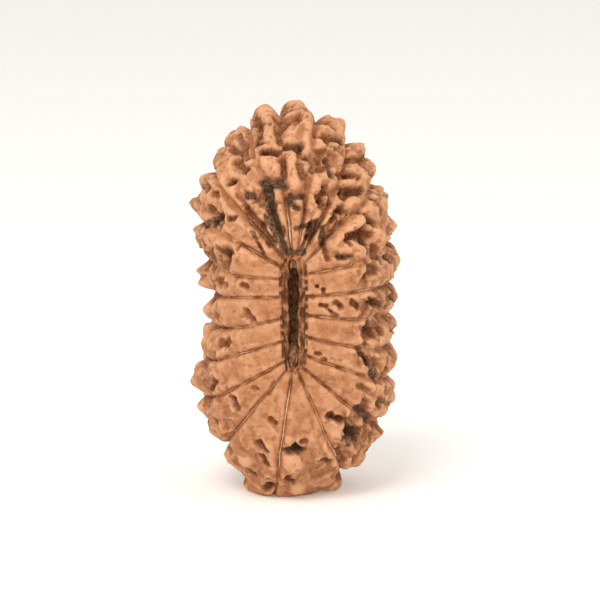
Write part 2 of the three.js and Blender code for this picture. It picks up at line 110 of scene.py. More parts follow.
# Ridges on the front, as seen from in front: across and up of both ends, radius, height.
FRONT_RIDGES = (
    (-2.5, 34.6, -2.0, 32.5, 0.9, 0.45), (-3.7, 33.3, -3.5, 31.2, 0.8, 0.4), (1.4, 33.8, 1.2, 31.3, 0.9, 0.4),
    (-2.7, 30.1, -1.6, 30.0, 1.0, 0.6), (-0.4, 30.7, 0.2, 28.5, 0.85, 0.65), (-1.4, 27.6, -0.7, 25.0, 0.7, 0.45),
    (-6.3, 28.2, -4.6, 25.4, 1.2, 0.6), (-4.6, 25.2, -2.2, 22.6, 0.9, 0.6), (3.1, 27.0, 1.6, 24.0, 0.7, 0.5),
    (5.9, 25.2, 3.6, 23.4, 0.9, 0.7), (3.8, 22.8, 5.9, 22.4, 0.8, 0.6), (3.5, 28.3, 4.0, 26.8, 0.9, 0.45),
    (5.0, 26.5, 7.4, 26.4, 0.9, 0.45), (1.2, 28.5, 2.7, 28.6, 0.8, 0.4), (4.6, 30.1, 6.1, 29.0, 0.7, 0.4),
    (5.1, 25.9, 3.6, 24.4, 0.4, 0.35), (2.9, 25.4, 1.6, 22.8, 0.5, 0.35), (6.0, 21.9, 8.7, 22.6, 0.6, 0.35),
    (3.9, 31.4, 4.2, 30.0, 0.6, 0.35), (3.4, 28.7, 5.1, 28.3, 0.6, 0.4), (-5.0, 22.9, -2.8, 21.8, 0.3, 0.25),
    (-7.9, 23.6, -5.6, 22.8, 0.6, 0.3), (-0.4, 7.5, -0.4, 5.4, 0.8, 0.25), (2.9, 4.6, 3.6, 3.0, 0.6, 0.35),
    (1.5, 5.2, 2.2, 4.2, 0.6, 0.25), (4.6, 5.0, 5.2, 4.0, 0.5, 0.3), (-1.9, 4.6, -2.0, 2.4, 0.6, 0.3),
)

# Pits on the front, each along a short line, as seen from in front: across and up of both ends,
# radius, depth, and how much dark dirt lies in it.
FRONT_PITS = (
    (-2.7, 31.2, -1.5, 31.4, 0.44, 0.8, 0.6), (-0.7, 31.9, 0.5, 31.7, 0.52, 0.8, 0.7),
    (-1.4, 33.3, -1.1, 32.3, 0.36, 0.6, 0.3), (-0.9, 30.6, -0.8, 29.0, 0.28, 0.6, 0.3),
    (-3.3, 34.4, -2.9, 33.6, 0.46, 0.8, 0.2), (-2.8, 33.0, -3.3, 31.8, 0.27, 0.5, 0.2),
    (-5.4, 31.4, -4.9, 31.1, 0.46, 0.6, 0.1), (-4.9, 30.4, -4.5, 29.6, 0.48, 0.8, 0.1),
    (-4.7, 32.6, -4.5, 31.9, 0.38, 0.5, 0.1), (-5.6, 28.4, -5.4, 28.5, 0.34, 0.6, 0.2),
    (-7.7, 28.3, -7.4, 27.8, 0.42, 0.6, 0.1), (-4.3, 26.2, -3.1, 24.8, 0.40, 0.6, 0.2),
    (-3.1, 24.6, -2.0, 23.0, 0.50, 0.7, 0.4), (-3.7, 23.9, -2.7, 22.2, 0.26, 0.5, 0.1),
    (1.3, 35.4, 1.5, 35.2, 0.36, 0.5, 0.3), (1.0, 34.8, 1.1, 34.6, 0.30, 0.4, 0.2),
    (-0.4, 34.3, 0.5, 34.4, 0.32, 0.4, 0.1), (2.8, 33.6, 3.3, 33.2, 0.46, 0.7, 0.2),
    (2.8, 32.5, 4.3, 32.3, 0.48, 0.6, 0.1), (0.5, 29.9, 0.9, 29.1, 0.46, 0.6, 0.1),
    (1.7, 29.6, 2.5, 29.9, 0.42, 0.7, 0.2), (2.9, 30.5, 3.3, 29.0, 0.40, 0.7, 0.3),
    (4.2, 29.1, 5.0, 29.0, 0.38, 0.6, 0.2), (4.9, 30.6, 6.3, 29.9, 0.50, 0.8, 0.1),
    (4.5, 27.3, 6.0, 27.8, 0.52, 0.8, 0.2), (2.4, 26.9, 2.5, 26.3, 0.30, 0.6, 0.2),
    (1.8, 25.0, 1.1, 23.6, 0.36, 0.6, 0.4), (1.1, 23.5, 0.7, 22.6, 0.22, 0.4, 0.3),
    (4.2, 26.2, 3.7, 25.5, 0.28, 0.5, 0.2), (6.3, 25.5, 6.9, 25.0, 0.46, 0.7, 0.4),
    (4.8, 23.7, 6.2, 24.2, 0.44, 0.7, 0.2), (6.3, 24.3, 6.5, 22.3, 0.28, 0.5, 0.2),
    (4.6, 23.2, 4.9, 23.0, 0.26, 0.4, 0.1), (8.0, 26.8, 8.2, 26.3, 0.44, 0.7, 0.3),
    (8.3, 25.7, 8.5, 25.1, 0.42, 0.7, 0.5), (7.2, 27.6, 7.5, 27.2, 0.36, 0.5, 0.2),
    (7.0, 26.7, 7.4, 26.0, 0.5, 0.9, 0.4),
    (2.9, 22.6, 3.1, 21.7, 0.32, 0.4, 0.4), (4.2, 21.8, 4.6, 21.8, 0.30, 0.4, 0.5),
    (-7.2, 24.8, -7.2, 24.6, 0.28, 0.8, 0.5), (-7.5, 26.3, -7.0, 26.0, 0.40, 0.6, 0.2),
    (-6.8, 25.5, -6.4, 25.7, 0.36, 0.6, 0.2), (-5.6, 25.1, -5.2, 25.4, 0.34, 0.5, 0.3),
    (-8.3, 24.1, -8.0, 23.7, 0.36, 0.5, 0.2), (-6.6, 22.4, -5.9, 21.9, 0.42, 0.5, 0.1),
    (-6.4, 19.5, -6.0, 19.4, 0.36, 0.4, 0.1),
    (-4.7, 19.4, -4.4, 19.1, 0.40, 0.45, 0.1), (-4.4, 16.8, -3.8, 16.3, 0.42, 0.5, 0.1),
    (-6.5, 13.9, -5.9, 14.0, 0.46, 0.5, 0.1), (-8.0, 14.4, -7.6, 14.2, 0.42, 0.4, 0.1),
    (-7.2, 10.8, -7.6, 9.7, 0.32, 0.5, 0.1), (-6.1, 9.6, -5.9, 9.4, 0.28, 0.4, 0.1),
    (-5.3, 8.7, -5.1, 8.1, 0.46, 0.7, 0.2), (-6.9, 7.1, -6.7, 6.9, 0.32, 0.4, 0.1),
    (-2.4, 9.2, -1.8, 10.3, 0.28, 0.4, 0.1), (-3.7, 9.8, -3.5, 9.7, 0.24, 0.25, 0.0), (-2.0, 7.1, -1.8, 6.7, 0.34, 0.4, 0.1),
    (-2.9, 4.9, -2.6, 4.5, 0.50, 0.6, 0.2), (-2.8, 3.6, -2.6, 3.2, 0.42, 0.5, 0.2),
    (-4.1, 2.5, -3.5, 2.1, 0.45, 0.5, 0.3), (-5.5, 3.6, -5.1, 3.2, 0.38, 0.4, 0.2),
    (0.1, 4.5, 0.6, 4.3, 0.46, 0.8, 0.9), (-0.9, 4.4, -0.3, 4.3, 0.26, 0.4, 0.3),
    (0.9, 5.1, 1.2, 5.2, 0.28, 0.4, 0.3), (-0.7, 1.5, 0.0, 1.3, 0.38, 0.7, 0.4),
    (-2.7, 0.9, -2.1, 1.1, 0.42, 0.7, 0.6), (4.0, 4.4, 4.4, 3.3, 0.30, 0.5, 0.5),
    (2.1, 19.2, 2.2, 19.1, 0.24, 0.4, 0.2), (2.8, 18.8, 2.9, 18.6, 0.26, 0.5, 0.3),
    (6.8, 20.4, 7.4, 20.6, 0.62, 0.6, 0.3),
    (8.4, 21.6, 8.6, 21.4, 0.38, 0.5, 0.5), (2.6, 17.5, 2.9, 17.2, 0.24, 0.4, 0.2),
    (3.3, 17.0, 3.4, 16.8, 0.22, 0.4, 0.2), (3.7, 16.5, 4.0, 16.4, 0.26, 0.45, 0.2),
    (4.1, 17.6, 4.2, 17.3, 0.36, 0.45, 0.2), (5.3, 17.6, 5.9, 17.4, 0.38, 0.5, 0.2),
    (7.1, 17.7, 7.8, 17.4, 0.46, 0.6, 0.5), (8.5, 18.3, 8.7, 18.0, 0.34, 0.5, 0.7),
    (6.8, 15.4, 7.2, 15.0, 0.50, 0.6, 0.5), (8.4, 15.3, 8.6, 15.1, 0.34, 0.4, 0.3),
    (2.2, 13.1, 2.4, 13.0, 0.26, 0.45, 0.2), (2.8, 12.6, 3.0, 12.4, 0.24, 0.4, 0.2),
    (6.0, 13.4, 6.7, 12.3, 0.48, 0.6, 0.5),
    (8.3, 12.5, 8.3, 12.0, 0.28, 0.4, 0.3), (5.8, 10.1, 6.5, 9.8, 0.38, 0.4, 0.2),
    (3.2, 7.3, 4.2, 7.0, 0.42, 0.7, 0.4), (5.1, 5.8, 6.0, 6.0, 0.60, 0.8, 0.7),
    (5.0, 5.4, 4.8, 4.8, 0.30, 0.5, 0.5), (6.1, 4.8, 5.7, 4.2, 0.26, 0.5, 0.4), (2.5, 3.4, 2.9, 3.1, 0.42, 0.5, 0.4),
    (7.3, 8.6, 7.5, 8.2, 0.38, 0.5, 0.5),
)

# Old dirt that fills low places of the front, each stroke along a line, as seen from in front:
# across and up of both ends, radius, and how deep the place lies.
DIRT_STROKES = (
    (-2.8, 28.4, -1.3, 28.4, 0.72, 0.45), (-2.3, 28.0, -2.2, 27.2, 0.80, 0.50),
    (-2.1, 27.0, -1.8, 25.3, 0.76, 0.45), (-2.0, 25.0, -1.4, 24.0, 0.80, 0.35),
    (-1.3, 23.6, -0.8, 22.4, 0.60, 0.20), (-4.1, 27.3, -3.6, 27.2, 0.42, 0.40),
    (-0.3, 27.3, 0.7, 27.3, 0.45, 0.45), (-0.2, 26.7, 0.4, 26.4, 0.42, 0.35),
    (-0.7, 21.9, 0.8, 22.0, 0.40, 0.05), (0.2, 24.5, 1.5, 24.8, 0.30, 0.20),
    (2.7, 24.4, 2.8, 22.9, 0.42, 0.35),
    (5.9, 7.9, 7.1, 7.0, 0.55, 0.30), (8.6, 18.5, 8.7, 17.4, 0.50, 0.20),
    (6.6, 12.4, 7.4, 10.6, 0.55, 0.25), (6.3, 4.4, 6.9, 5.8, 0.50, 0.20),
    (-0.6, 4.5, 0.9, 4.3, 0.42, 0.15), (1.3, 23.6, 2.0, 25.0, 0.40, 0.15),
    (-8.0, 24.6, -7.0, 25.3, 0.40, 0.15), (7.6, 8.9, 8.1, 8.2, 0.45, 0.20),
    (4.9, 6.2, 5.6, 5.2, 0.60, 0.20),
)

# Pale fibres that lie in the grooves on the front: groove, from and to as shares of the way from the
# slit to the rear, and thickness.
FIBRES = (
    (0, 0.02, 0.09, 0.20), (11, 0.03, 0.14, 0.17), (11, 0.13, 0.24, 0.12), (10, 0.19, 0.29, 0.14),
    (18, 0.14, 0.22, 0.06), (15, 0.06, 0.13, 0.07), (14, 0.10, 0.17, 0.07), (13, 0.17, 0.27, 0.08),
    (4, 0.15, 0.22, 0.06), (5, 0.21, 0.30, 0.07), (6, 0.03, 0.08, 0.06),
)


class Mask(Enum):
    """What a value painted on the shell's points stands for."""

    # Painted shade in pits, crag hollows and clefts.
    PIT_SHADE = "pit"
    # Distance from the nearest groove: where the material paints shade along the grooves and lays the pale threads.
    GAP = "gap"
    THREAD = "thread"
    DIRT = "dirt"
    # Painted shade in the slit, on its lip and along the crack at its edge.
    SLIT_SHADE = "slit"
    # Painted light and shade: lighter on crests, darker in hollows.
    LIGHT_AND_SHADE = "height"


def chance(a: np.ndarray | float, b: np.ndarray | float) -> np.ndarray | float:
    """Gives a number from 0 to 1 that is always the same for the same two numbers.

    Args:
        a: The first number, or many of them.
        b: The second number, or many of them.

    Returns:
        The number from 0 to 1, or many of them.
    """
    spun = np.sin(a * 127.1 + b * 311.7) * 43758.5453
    return spun - np.floor(spun)


def smooth(low: float, high: float, value: np.ndarray | float) -> np.ndarray:
    """Rises smoothly from 0 to 1 between two values.

    Args:
        low: Where the result is still 0.
        high: Where the result reaches 1.
        value: The values to judge.

    Returns:
        The results, from 0 to 1.
    """
    share = np.clip((np.asarray(value, float) - low) / (high - low), 0, 1)
    return share * share * (3 - 2 * share)


def grain(points: np.ndarray, wave: float, seed: float = 0.0) -> np.ndarray:
    """Gives smooth noise at points.

    Args:
        points: The points, in millimetres.
        wave: How far apart the noise's hills are, in millimetres.
        seed: Moves the noise, so that two kinds differ.

    Returns:
        One value from about -1 to 1 for each point.
    """
    flat = points.reshape(-1, 3) / wave + seed
    values = [noise.noise(Vector(point)) for point in flat]
    return np.array(values).reshape(points.shape[:-1])


def drift(points: np.ndarray, wave: float, seed: float = 0.0) -> np.ndarray:
    """Gives a smoothly changing direction at points.

    Args:
        points: The points, in millimetres.
        wave: How far apart its changes are, in millimetres.
        seed: Moves the noise, so that two kinds differ.

    Returns:
        A vector of length up to about 1 for each point.
    """
    flat = points.reshape(-1, 3) / wave + seed
    return np.array([noise.noise_vector(Vector(point)) for point in flat]).reshape(points.shape)


def cells(points: np.ndarray, size: float) -> tuple[np.ndarray, np.ndarray]:
    """Splits space into uneven cells.

    Args:
        points: The points, in millimetres.
        size: How far apart the cells' middles are, in millimetres.

    Returns:
        How much nearer each point is to its own cell's middle than to the next one's, in
        millimetres, which is 0 on the walls between cells; and a number from 0 to 1 for the cell.
    """
    flat = points.reshape(-1, 3)
    corner = np.floor(flat / size)
    own, following = np.full(len(flat), np.inf), np.full(len(flat), np.inf)
    luck = np.zeros(len(flat))
    for step in itertools.product((-1, 0, 1), repeat=3):
        i, j, k = (corner + step).T
        x = i + chance(i + 17 * k, j)
        y = j + chance(j + 29 * k, i + 0.5)
        z = k + chance(k + 43 * i, j + 0.25)
        distance = np.linalg.norm(np.stack([x, y, z], axis=-1) * size - flat, axis=-1)
        nearer = distance < own
        following = np.where(nearer, own, np.minimum(following, distance))
        luck = np.where(nearer, chance(i + 61 * j, k + 0.75), luck)
        own = np.minimum(own, distance)
    shape = points.shape[:-1]
    return (following - own).reshape(shape), luck.reshape(shape)


def standing_out(heights: np.ndarray, reach: int) -> np.ndarray:
    """Says how far each point of a grid stands above the points round it.

    Args:
        heights: The heights, as rings round the bead.
        reach: How many points away the surroundings go.

    Returns:
        The differences: above 0 on crests, below it in hollows.
    """
    level = heights
    size = 2 * reach + 1
    for _ in range(2):
        padded = np.pad(np.pad(level, ((reach, reach), (0, 0)), mode="edge"), ((0, 0), (reach, reach)), mode="wrap")
        level = np.lib.stride_tricks.sliding_window_view(padded, (size, size)).mean(axis=(-2, -1))
    return heights - level


def settled(points: np.ndarray, limit: float) -> np.ndarray:
    """Draws stray points of a grid back towards the points round them.

    Args:
        points: The points, as rings round the bead.
        limit: How far a point may be from the middle of the eight round it.

    Returns:
        The points, with those of the first and the last ring as they were.
    """
    calm = points.copy()
    for _ in range(2):
        beside = np.roll(calm, 1, axis=1) + np.roll(calm, -1, axis=1)
        three = calm + beside
        middle = (three[:-2] + beside[1:-1] + three[2:]) / 8
        off = calm[1:-1] - middle
        length = np.linalg.norm(off, axis=-1, keepdims=True)
        calm[1:-1] = middle + off * limit / np.maximum(length, limit)
    return calm


@dataclass(frozen=True)
class Eye:
    """How the bead is seen: from in front, a little above, through a long lens."""

    rise: float = math.radians(10)
    distance: float = 260.0
    aim: tuple[float, float, float] = (0.6, 0.0, 18.4)
    aim_height: float = 17.9
    field_width: float = 54.55

    def seen(self, points: np.ndarray) -> tuple[np.ndarray, np.ndarray]:
        """Says where points look to be.

        Args:
            points: Points of the bead's frame, in millimetres.

        Returns:
            How far across and how far up each looks, in millimetres at the bead's middle.
        """
        sine, cosine = math.sin(self.rise), math.cos(self.rise)
        up = points[..., 2] - self.aim[2]
        scale = self.distance / (self.distance + points[..., 1] * cosine - up * sine)
        across = self.aim[0] + (points[..., 0] - self.aim[0]) * scale
        return across, self.aim_height + (points[..., 1] * sine + up * cosine) * scale


@dataclass(frozen=True)
class PlainForm:
    """The bead without its relief: a rounded form drawn from the front slit round to the rear one."""

    front_depth: float = 8.5
    back_depth: float = 8.3
    roundness: float = 2.35
    slit_height: float = 18.55
    back_slit_share: float = 0.62
    table: np.ndarray = field(default_factory=lambda: np.array(GROOVES))

    def along(self, u: np.ndarray, column: int) -> np.ndarray:
        """Reads the groove table on a smooth closed line through it.

        Args:
            u: Places round the bead, a groove at each whole number.
            column: The column of the table.

        Returns:
            The values there.
        """
        face = np.floor(u).astype(int)
        share = u - face
        a, b, c, d = (self.table[(face + step) % FACES, column] for step in (-1, 0, 1, 2))
        cubic = 3 * (b - c) + d - a
        square = 2 * a - 5 * b + 4 * c - d
        return b + 0.5 * share * (c - a + share * (square + share * cubic))

    def lip(self, u: np.ndarray, wide: float, long: float, y: float) -> np.ndarray:
        """Gives points of the slit's lip, drawn in towards the slit's middle.

        Args:
            u: Places round the bead.
            wide: Share of the lip's width.
            long: Share of the lip's length.
            y: How far back the points lie, in millimetres.

        Returns:
            The points.
        """
        z = self.slit_height + long * (self.along(u, 1) - self.slit_height)
        return np.stack([wide * self.along(u, 0), np.full_like(z, y), z], axis=-1)

    def outer(self, u: np.ndarray, turn: np.ndarray) -> np.ndarray:
        """Gives points of the outside.

        Args:
            u: Places round the bead.
            turn: The way from the front slit, 0, over the widest outline, 0.5, to the rear slit, 1.

        Returns:
            The points.
        """
        u, turn = np.broadcast_arrays(np.asarray(u, float), np.asarray(turn, float))
        power = 2 / self.roundness
        reach = np.clip(np.sin(math.pi * turn), 0, None)[..., None] ** power
        depth = np.abs(np.cos(math.pi * turn)) ** power
        front = turn < 0.5
        share = np.where(front, 1.0, self.back_slit_share)
        start_z = self.slit_height + share * (self.along(u, 1) - self.slit_height)
        start = np.stack([share * 0 + self.along(u, 0), share * 0, start_z], axis=-1)
        outline = np.stack([self.along(u, 2), share * 0, self.along(u, 3)], axis=-1)
        points = start + (outline - start) * reach
        points[..., 1] = np.where(front, -self.front_depth, self.back_depth) * depth
        bow = self.along(u, 4) * np.where(front, np.sin(2 * math.pi * np.clip(turn, 0, 0.5)), 0)
        return points + self._clockwise(u) * bow[..., None]

    def _clockwise(self, u: np.ndarray) -> np.ndarray:
        """Gives the level direction along the outline at each place.

        Args:
            u: Places round the bead.

        Returns:
            Unit vectors.
        """
        step = 0.05
        x = self.along(u + step, 2) - self.along(u - step, 2)
        z = self.along(u + step, 3) - self.along(u - step, 3)
        way = np.stack([x, np.zeros_like(x), z], axis=-1)
        return way / np.linalg.norm(way, axis=-1, keepdims=True)

    def normal(self, u: np.ndarray, turn: np.ndarray) -> np.ndarray:
        """Gives the outward directions of the outside.

        Args:
            u: Places round the bead.
            turn: The way from the front slit to the rear one.

        Returns:
            Unit vectors.
        """
        step = 0.004
        low, high = np.clip(turn - step, 0, 1), np.clip(turn + step, 0, 1)
        across = self.outer(u + step, turn) - self.outer(u - step, turn)
        over = self.outer(u, high) - self.outer(u, low)
        way = np.cross(across, over)
        return way / np.linalg.norm(way, axis=-1, keepdims=True)

    def face_width(self, face: np.ndarray, turn: np.ndarray) -> np.ndarray:
        """Gives how wide faces are.

        Args:
            face: The groove before each face.
            turn: The way from the front slit to the rear one.

        Returns:
            The widths, in millimetres.
        """
        return np.linalg.norm(self.outer(face, turn) - self.outer(face + 1, turn), axis=-1)


@dataclass(frozen=True)
class Feature:
    """A knob, a pit or a patch of dirt, along a short line."""

    start: np.ndarray
    end: np.ndarray
    radius: float
    height: float
    dirt: float = 0.0
    pointed: float = 0.0
    flat: float = 0.0


@dataclass
class Relief:
    """Everything that stands out of the plain form or is sunk into it."""

    form: PlainForm
    eye: Eye
    crown: float = 0.28
    groove_depth: float = 0.30
    groove_reach: float = 0.19
    valley_depth: float = 0.32
    valley_reach: float = 0.42
    thread_rise: float = 0.17
    crack_depth: float = 0.3
    cleft_depth: float = 0.5
    cell: float = 1.75
    small_cell: float = 0.8
    side_cragginess: float = 0.9
    crags_fade: float = 0.12
    crags_clear: float = 1.3
    rim: tuple[float, float] = (0.42, 0.58)
    knob_spacing: float = 2.5
    knob_height: float = 0.85
    knob_radius: float = 1.45
    pit_depth: float = 0.55
    pit_radius: float = 0.72
    lane_width: float = 2.9
    lanes_from: float = 0.37
    lanes_to: float = 0.93
    wobble: float = 0.2

    def __post_init__(self) -> None:
        """Lays out all the knobs, the pits and the dirt."""
        u, turn = np.meshgrid(np.arange(0, FACES, 1 / 12), np.arange(0.01, 0.53, 0.01), indexing="ij")
        self.places = self.form.outer(u, turn).reshape(-1, 3)
        self.looks = self.eye.seen(self.places)
        knobs, pits = self._laned()
        self.knobs = self._rim_knobs() + self._front_knobs() + self._front_ridges() + knobs
        self.pits = self._front_pits() + pits
        self.dirt = self._dirt()

    def _nearest(self, x: float, z: float) -> tuple[np.ndarray, float]:
        """Finds the place on the front that looks nearest to a given one.

        Args:
            x: How far across it looks.
            z: How far up it looks.

        Returns:
            The place, and how far off it looks.
        """
        off = np.hypot(self.looks[0] - x, self.looks[1] - z)
        best = int(off.argmin())
        return self.places[best], float(off[best])

    def _rim_knobs(self) -> list[Feature]:
        """Returns the knobs on the rim, which reach out to their tips."""
        made = []
        for x, z in RIM_TIPS:
            centre, distance = self._nearest(x, z)
            height = max(self.knob_height / 2, distance - self.crown)
            radius = self.knob_radius * (0.85 if x < 0 else 1.0)
            made.append(Feature(centre, centre, radius, height, pointed=0.6))
        return made

    def _front_knobs(self) -> list[Feature]:
        """Returns the knobs on the front."""
        found = [(self._nearest(x, z)[0], radius, height) for x, z, radius, height in FRONT_KNOBS]
        return [Feature(centre, centre, radius, height, flat=0.3) for centre, radius, height in found]

    def _front_ridges(self) -> list[Feature]:
        """Returns the ridges on the front."""
        made = []
        for x1, z1, x2, z2, radius, height in FRONT_RIDGES:
            start, end = self._nearest(x1, z1)[0], self._nearest(x2, z2)[0]
            made.append(Feature(start, end, radius, height, flat=0.3))
        return made

    def _front_pits(self) -> list[Feature]:
        """Returns the pits on the front."""
        made = []
        for x1, z1, x2, z2, radius, depth, dirt in FRONT_PITS:
            start, end = self._nearest(x1, z1)[0], self._nearest(x2, z2)[0]
            made.append(Feature(start, end, radius, depth, dirt))
        return made

    def _dirt(self) -> list[Feature]:
        """Returns the strokes of old dirt."""
        made = []
        for x1, z1, x2, z2, radius, depth in DIRT_STROKES:
            start, end = self._nearest(x1, z1)[0], self._nearest(x2, z2)[0]
            made.append(Feature(start, end, radius, depth, 1.0))
        return made

    def _lane_length(self, face: int) -> float:
        """Gives how long the middle of a face is over the stretch that its lanes take.

        Args:
            face: The groove before the face.

        Returns:
            The length, in millimetres.
        """
        line = self.form.outer(face + 0.5, np.linspace(self.lanes_from, self.lanes_to, 13))
        return float(np.linalg.norm(np.diff(line, axis=0), axis=1).sum())

    def _laned(self) -> tuple[list[Feature], list[Feature]]:
        """Lays knobs and pits in lanes over the rim, the sides and the back.

        Returns:
            The knobs and the pits.
        """
        knobs, pits = [], []
        for face in range(FACES):
            width = float(self.form.face_width(np.array(face), np.array(0.5)))
            lanes = max(1, round(width / self.lane_width))
            rows = round(self._lane_length(face) / self.knob_spacing)
            stride = (self.lanes_to - self.lanes_from) / rows
            for lane in range(lanes):
                for row in range(rows):
                    key = face * 31 + lane * 7
                    shift = chance(key, row) - 0.5
                    size = 0.8 + 0.35 * chance(key + 3, row + 5)
                    across = face + (lane + 0.5 + 0.35 * shift) / lanes
                    turn = self.lanes_from + stride * (row + 0.5 * (lane % 2) + 0.6 * chance(row, key))
                    rise = self.knob_height * size * float(smooth(0.28, 0.64, turn))
                    centre = self.form.outer(across, turn)
                    knobs.append(Feature(centre, centre, self.knob_radius * size, rise))
                    side = math.copysign(0.3, shift) / lanes
                    middle = turn + 0.5 * stride
                    reach = 0.16 * (chance(key + 9, row) - 0.5)
                    start = self.form.outer(across + side - reach, middle - 0.15 * stride)
                    end = self.form.outer(across + side + reach, middle + 0.15 * stride)
                    dirt = 0.6 * chance(row + 2, key + 1) ** 3
                    pits.append(Feature(start, end, self.pit_radius * size, self.pit_depth * size, dirt))
        return knobs, pits

    def shaped(self, u: np.ndarray, turn: np.ndarray) -> tuple[np.ndarray, dict[Mask, np.ndarray]]:
        """Works out the surface and what is painted on it.

        Args:
            u: Places round the bead.
            turn: The way from the front slit to the rear one.

        Returns:
            The points, and the value of each mask at them.
        """
        plain = self.form.outer(u, turn)
        finder = _finder(plain)
        face = np.floor(u)
        share = u - face
        width = self.form.face_width(face, turn)
        gap = np.minimum(share, 1 - share) * width
        craggy = self._craggy(u, turn, plain)
        start = smooth(0, 0.01, turn)

        lost = 0.9 * smooth(0.55, 0.95, craggy) * (1 - smooth(self.rim[0], self.rim[1], turn))
        line = np.exp(-((gap / self.groove_reach) ** 2)) * (1 - lost)
        valley = np.exp(-((gap / np.minimum(self.valley_reach, 0.25 * width)) ** 2))
        thread = self._thread_strength(u, turn)
        crown = self.crown * (1 - np.abs(2 * share - 1) ** 3) * smooth(0, 3, width)
        crown *= 0.25 + 0.75 * smooth(0.1, 0.4, turn) * (0.4 + 0.6 * self.form.along(u, 6))
        near_slit = smooth(0, 0.1, turn) * smooth(0, 0.08, 1 - turn)

        knobs = self._risen(finder, plain, self.knobs, soft=True)[0] * near_slit
        pits, pit_dirt, walls = self._risen(finder, plain, self.pits)
        dirt_depth, dirt, _ = self._risen(finder, plain, self.dirt)
        crags, hollow = self._crags(plain, craggy * (1 - 0.85 * smooth(0.05, 0.6, knobs)))
        swell = 0.14 * grain(plain, 2.6, 3.0) * (0.5 + 0.5 * craggy)
        swell += 0.11 * grain(plain, 1.1, 7.0) * (0.6 + 0.4 * craggy)
        swell += 0.05 * grain(plain, 0.5, 11.0) + self._streaks(u, turn, width, self.form.along(u, 6))

        away = 1 - valley
        carved = 1.05 * pits * (0.3 + 0.7 * away) * (1 + 0.75 * grain(plain, 0.4, 51.0))
        height = crown + away * knobs + swell + crags * (0.35 + 0.65 * away) - carved - dirt_depth
        cleft = self.cleft_depth * smooth(0.85, 1.0, self.form.along(u, 6)) * smooth(0.02, 0.07, turn)
        cleft *= 1 - smooth(0.14, 0.26, turn)
        valley_depth = self.valley_depth * (0.15 + 0.85 * smooth(0.1, 0.45, turn)) * (0.25 + 0.75 * craggy) + cleft
        height -= (valley_depth * valley + self.groove_depth * line) * start
        height += self.thread_rise * thread * np.exp(-((gap / 0.07) ** 2)) * start
        # How far the surface is sunk in pits, crag hollows and clefts, for the painted shade.
        sunk = 1.2 * pits - np.minimum(crags, 0) + 0.7 * cleft * valley
        beads = smooth(-0.35, 0.3, grain(plain, 0.42, 31.0))
        # Patchy strength of the crack at the slit's edge, for its depth and its painted shade; weaker near the slit's
        # ends.
        patchy_shade = (0.35 + 0.65 * beads) * (1 - 0.5 * smooth(3.9, 5.0, np.abs(plain[..., 2] - self.form.slit_height)))
        height -= self.crack_depth * ((1 - smooth(0.0, 0.008, turn)) * patchy_shade + 1 - smooth(0.0, 0.02, 1 - turn))
        points = plain + self.form.normal(u, turn) * height[..., None]
        masks = {
            # Painted shade, darkest where the surface is sunk deepest and on the steep walls of pits.
            Mask.PIT_SHADE: np.clip(0.32 * hollow + 0.35 * walls + 0.75 * smooth(0.1, 0.72, sunk), 0, 1),
            # Sets the painted shade along the grooves and where the pale threads lie.
            Mask.GAP: gap + 0.3 * lost + 0.07 * smooth(0.16, 0.4, turn),
            Mask.THREAD: np.clip(thread, 0, 1),
            Mask.DIRT: np.clip(np.maximum(dirt, pit_dirt), 0, 1),
            # Painted shade along the crack at the front slit's edge.
            Mask.SLIT_SHADE: np.clip((1 - smooth(0.002, 0.009, turn)) * (0.1 + 0.7 * patchy_shade), 0, 1),
            # Painted light and shade: how far each point stands above or below the points round it, for lighter crests
            # and darker hollows.
            Mask.LIGHT_AND_SHADE: np.clip(0.5 + 1.5 * standing_out(height, 2) + 0.35 * swell, 0, 1),
        }
        return points, masks

    def _craggy(self, u: np.ndarray, turn: np.ndarray, plain: np.ndarray) -> np.ndarray:
        """Says how craggy the surface is.

        Args:
            u: Places round the bead.
            turn: The way from the front slit to the rear one.
            plain: The points of the plain form there.

        Returns:
            Values from 0 to 1.
        """
        begin, front = self.form.along(u, 5), self.form.along(u, 6)
        most = front + (self.side_cragginess - front) * smooth(self.rim[0], self.rim[1], turn)
        grown = smooth(0, 1, (turn - begin + 0.4 * self.crags_fade) / self.crags_fade)
        grown *= smooth(0, self.crags_fade, 1 - turn)
        return most * grown * smooth(Placement.base_drop, Placement.base_drop + self.crags_clear, plain[..., 2])

    def _crags(self, plain: np.ndarray, craggy: np.ndarray) -> tuple[np.ndarray, np.ndarray]:
        """Breaks the surface into hollows with uneven walls between them.

        Args:
            plain: The points of the plain form.
            craggy: How craggy each is.

        Returns:
            The height at each point, and how hollow it is, from 0 to 1.
        """
        x, y, z = plain[..., 0], plain[..., 1], plain[..., 2]
        bends = np.stack([np.sin(2.2 * z + 1), np.sin(2.2 * (x + z) + 2), np.sin(2.2 * x + 3)], axis=-1)
        bent = plain + 0.36 * bends + 0.2 * drift(plain, 0.6, 9.0)
        inward, luck = cells(bent, self.cell)
        sunk = 1.0 * (luck < 0.48)
        inner = smooth(0.02, 0.32, inward)
        height = (0.20 * (luck > 0.72) - (0.42 + 0.45 * luck) * sunk) * inner
        height += 0.15 * (1 - smooth(0, 0.3, inward))
        inward, luck = cells(bent, self.small_cell)
        height += 0.30 * (luck - 0.55) * smooth(0.02, 0.22, inward)
        return height * craggy, sunk * inner * smooth(0.15, 0.6, craggy)

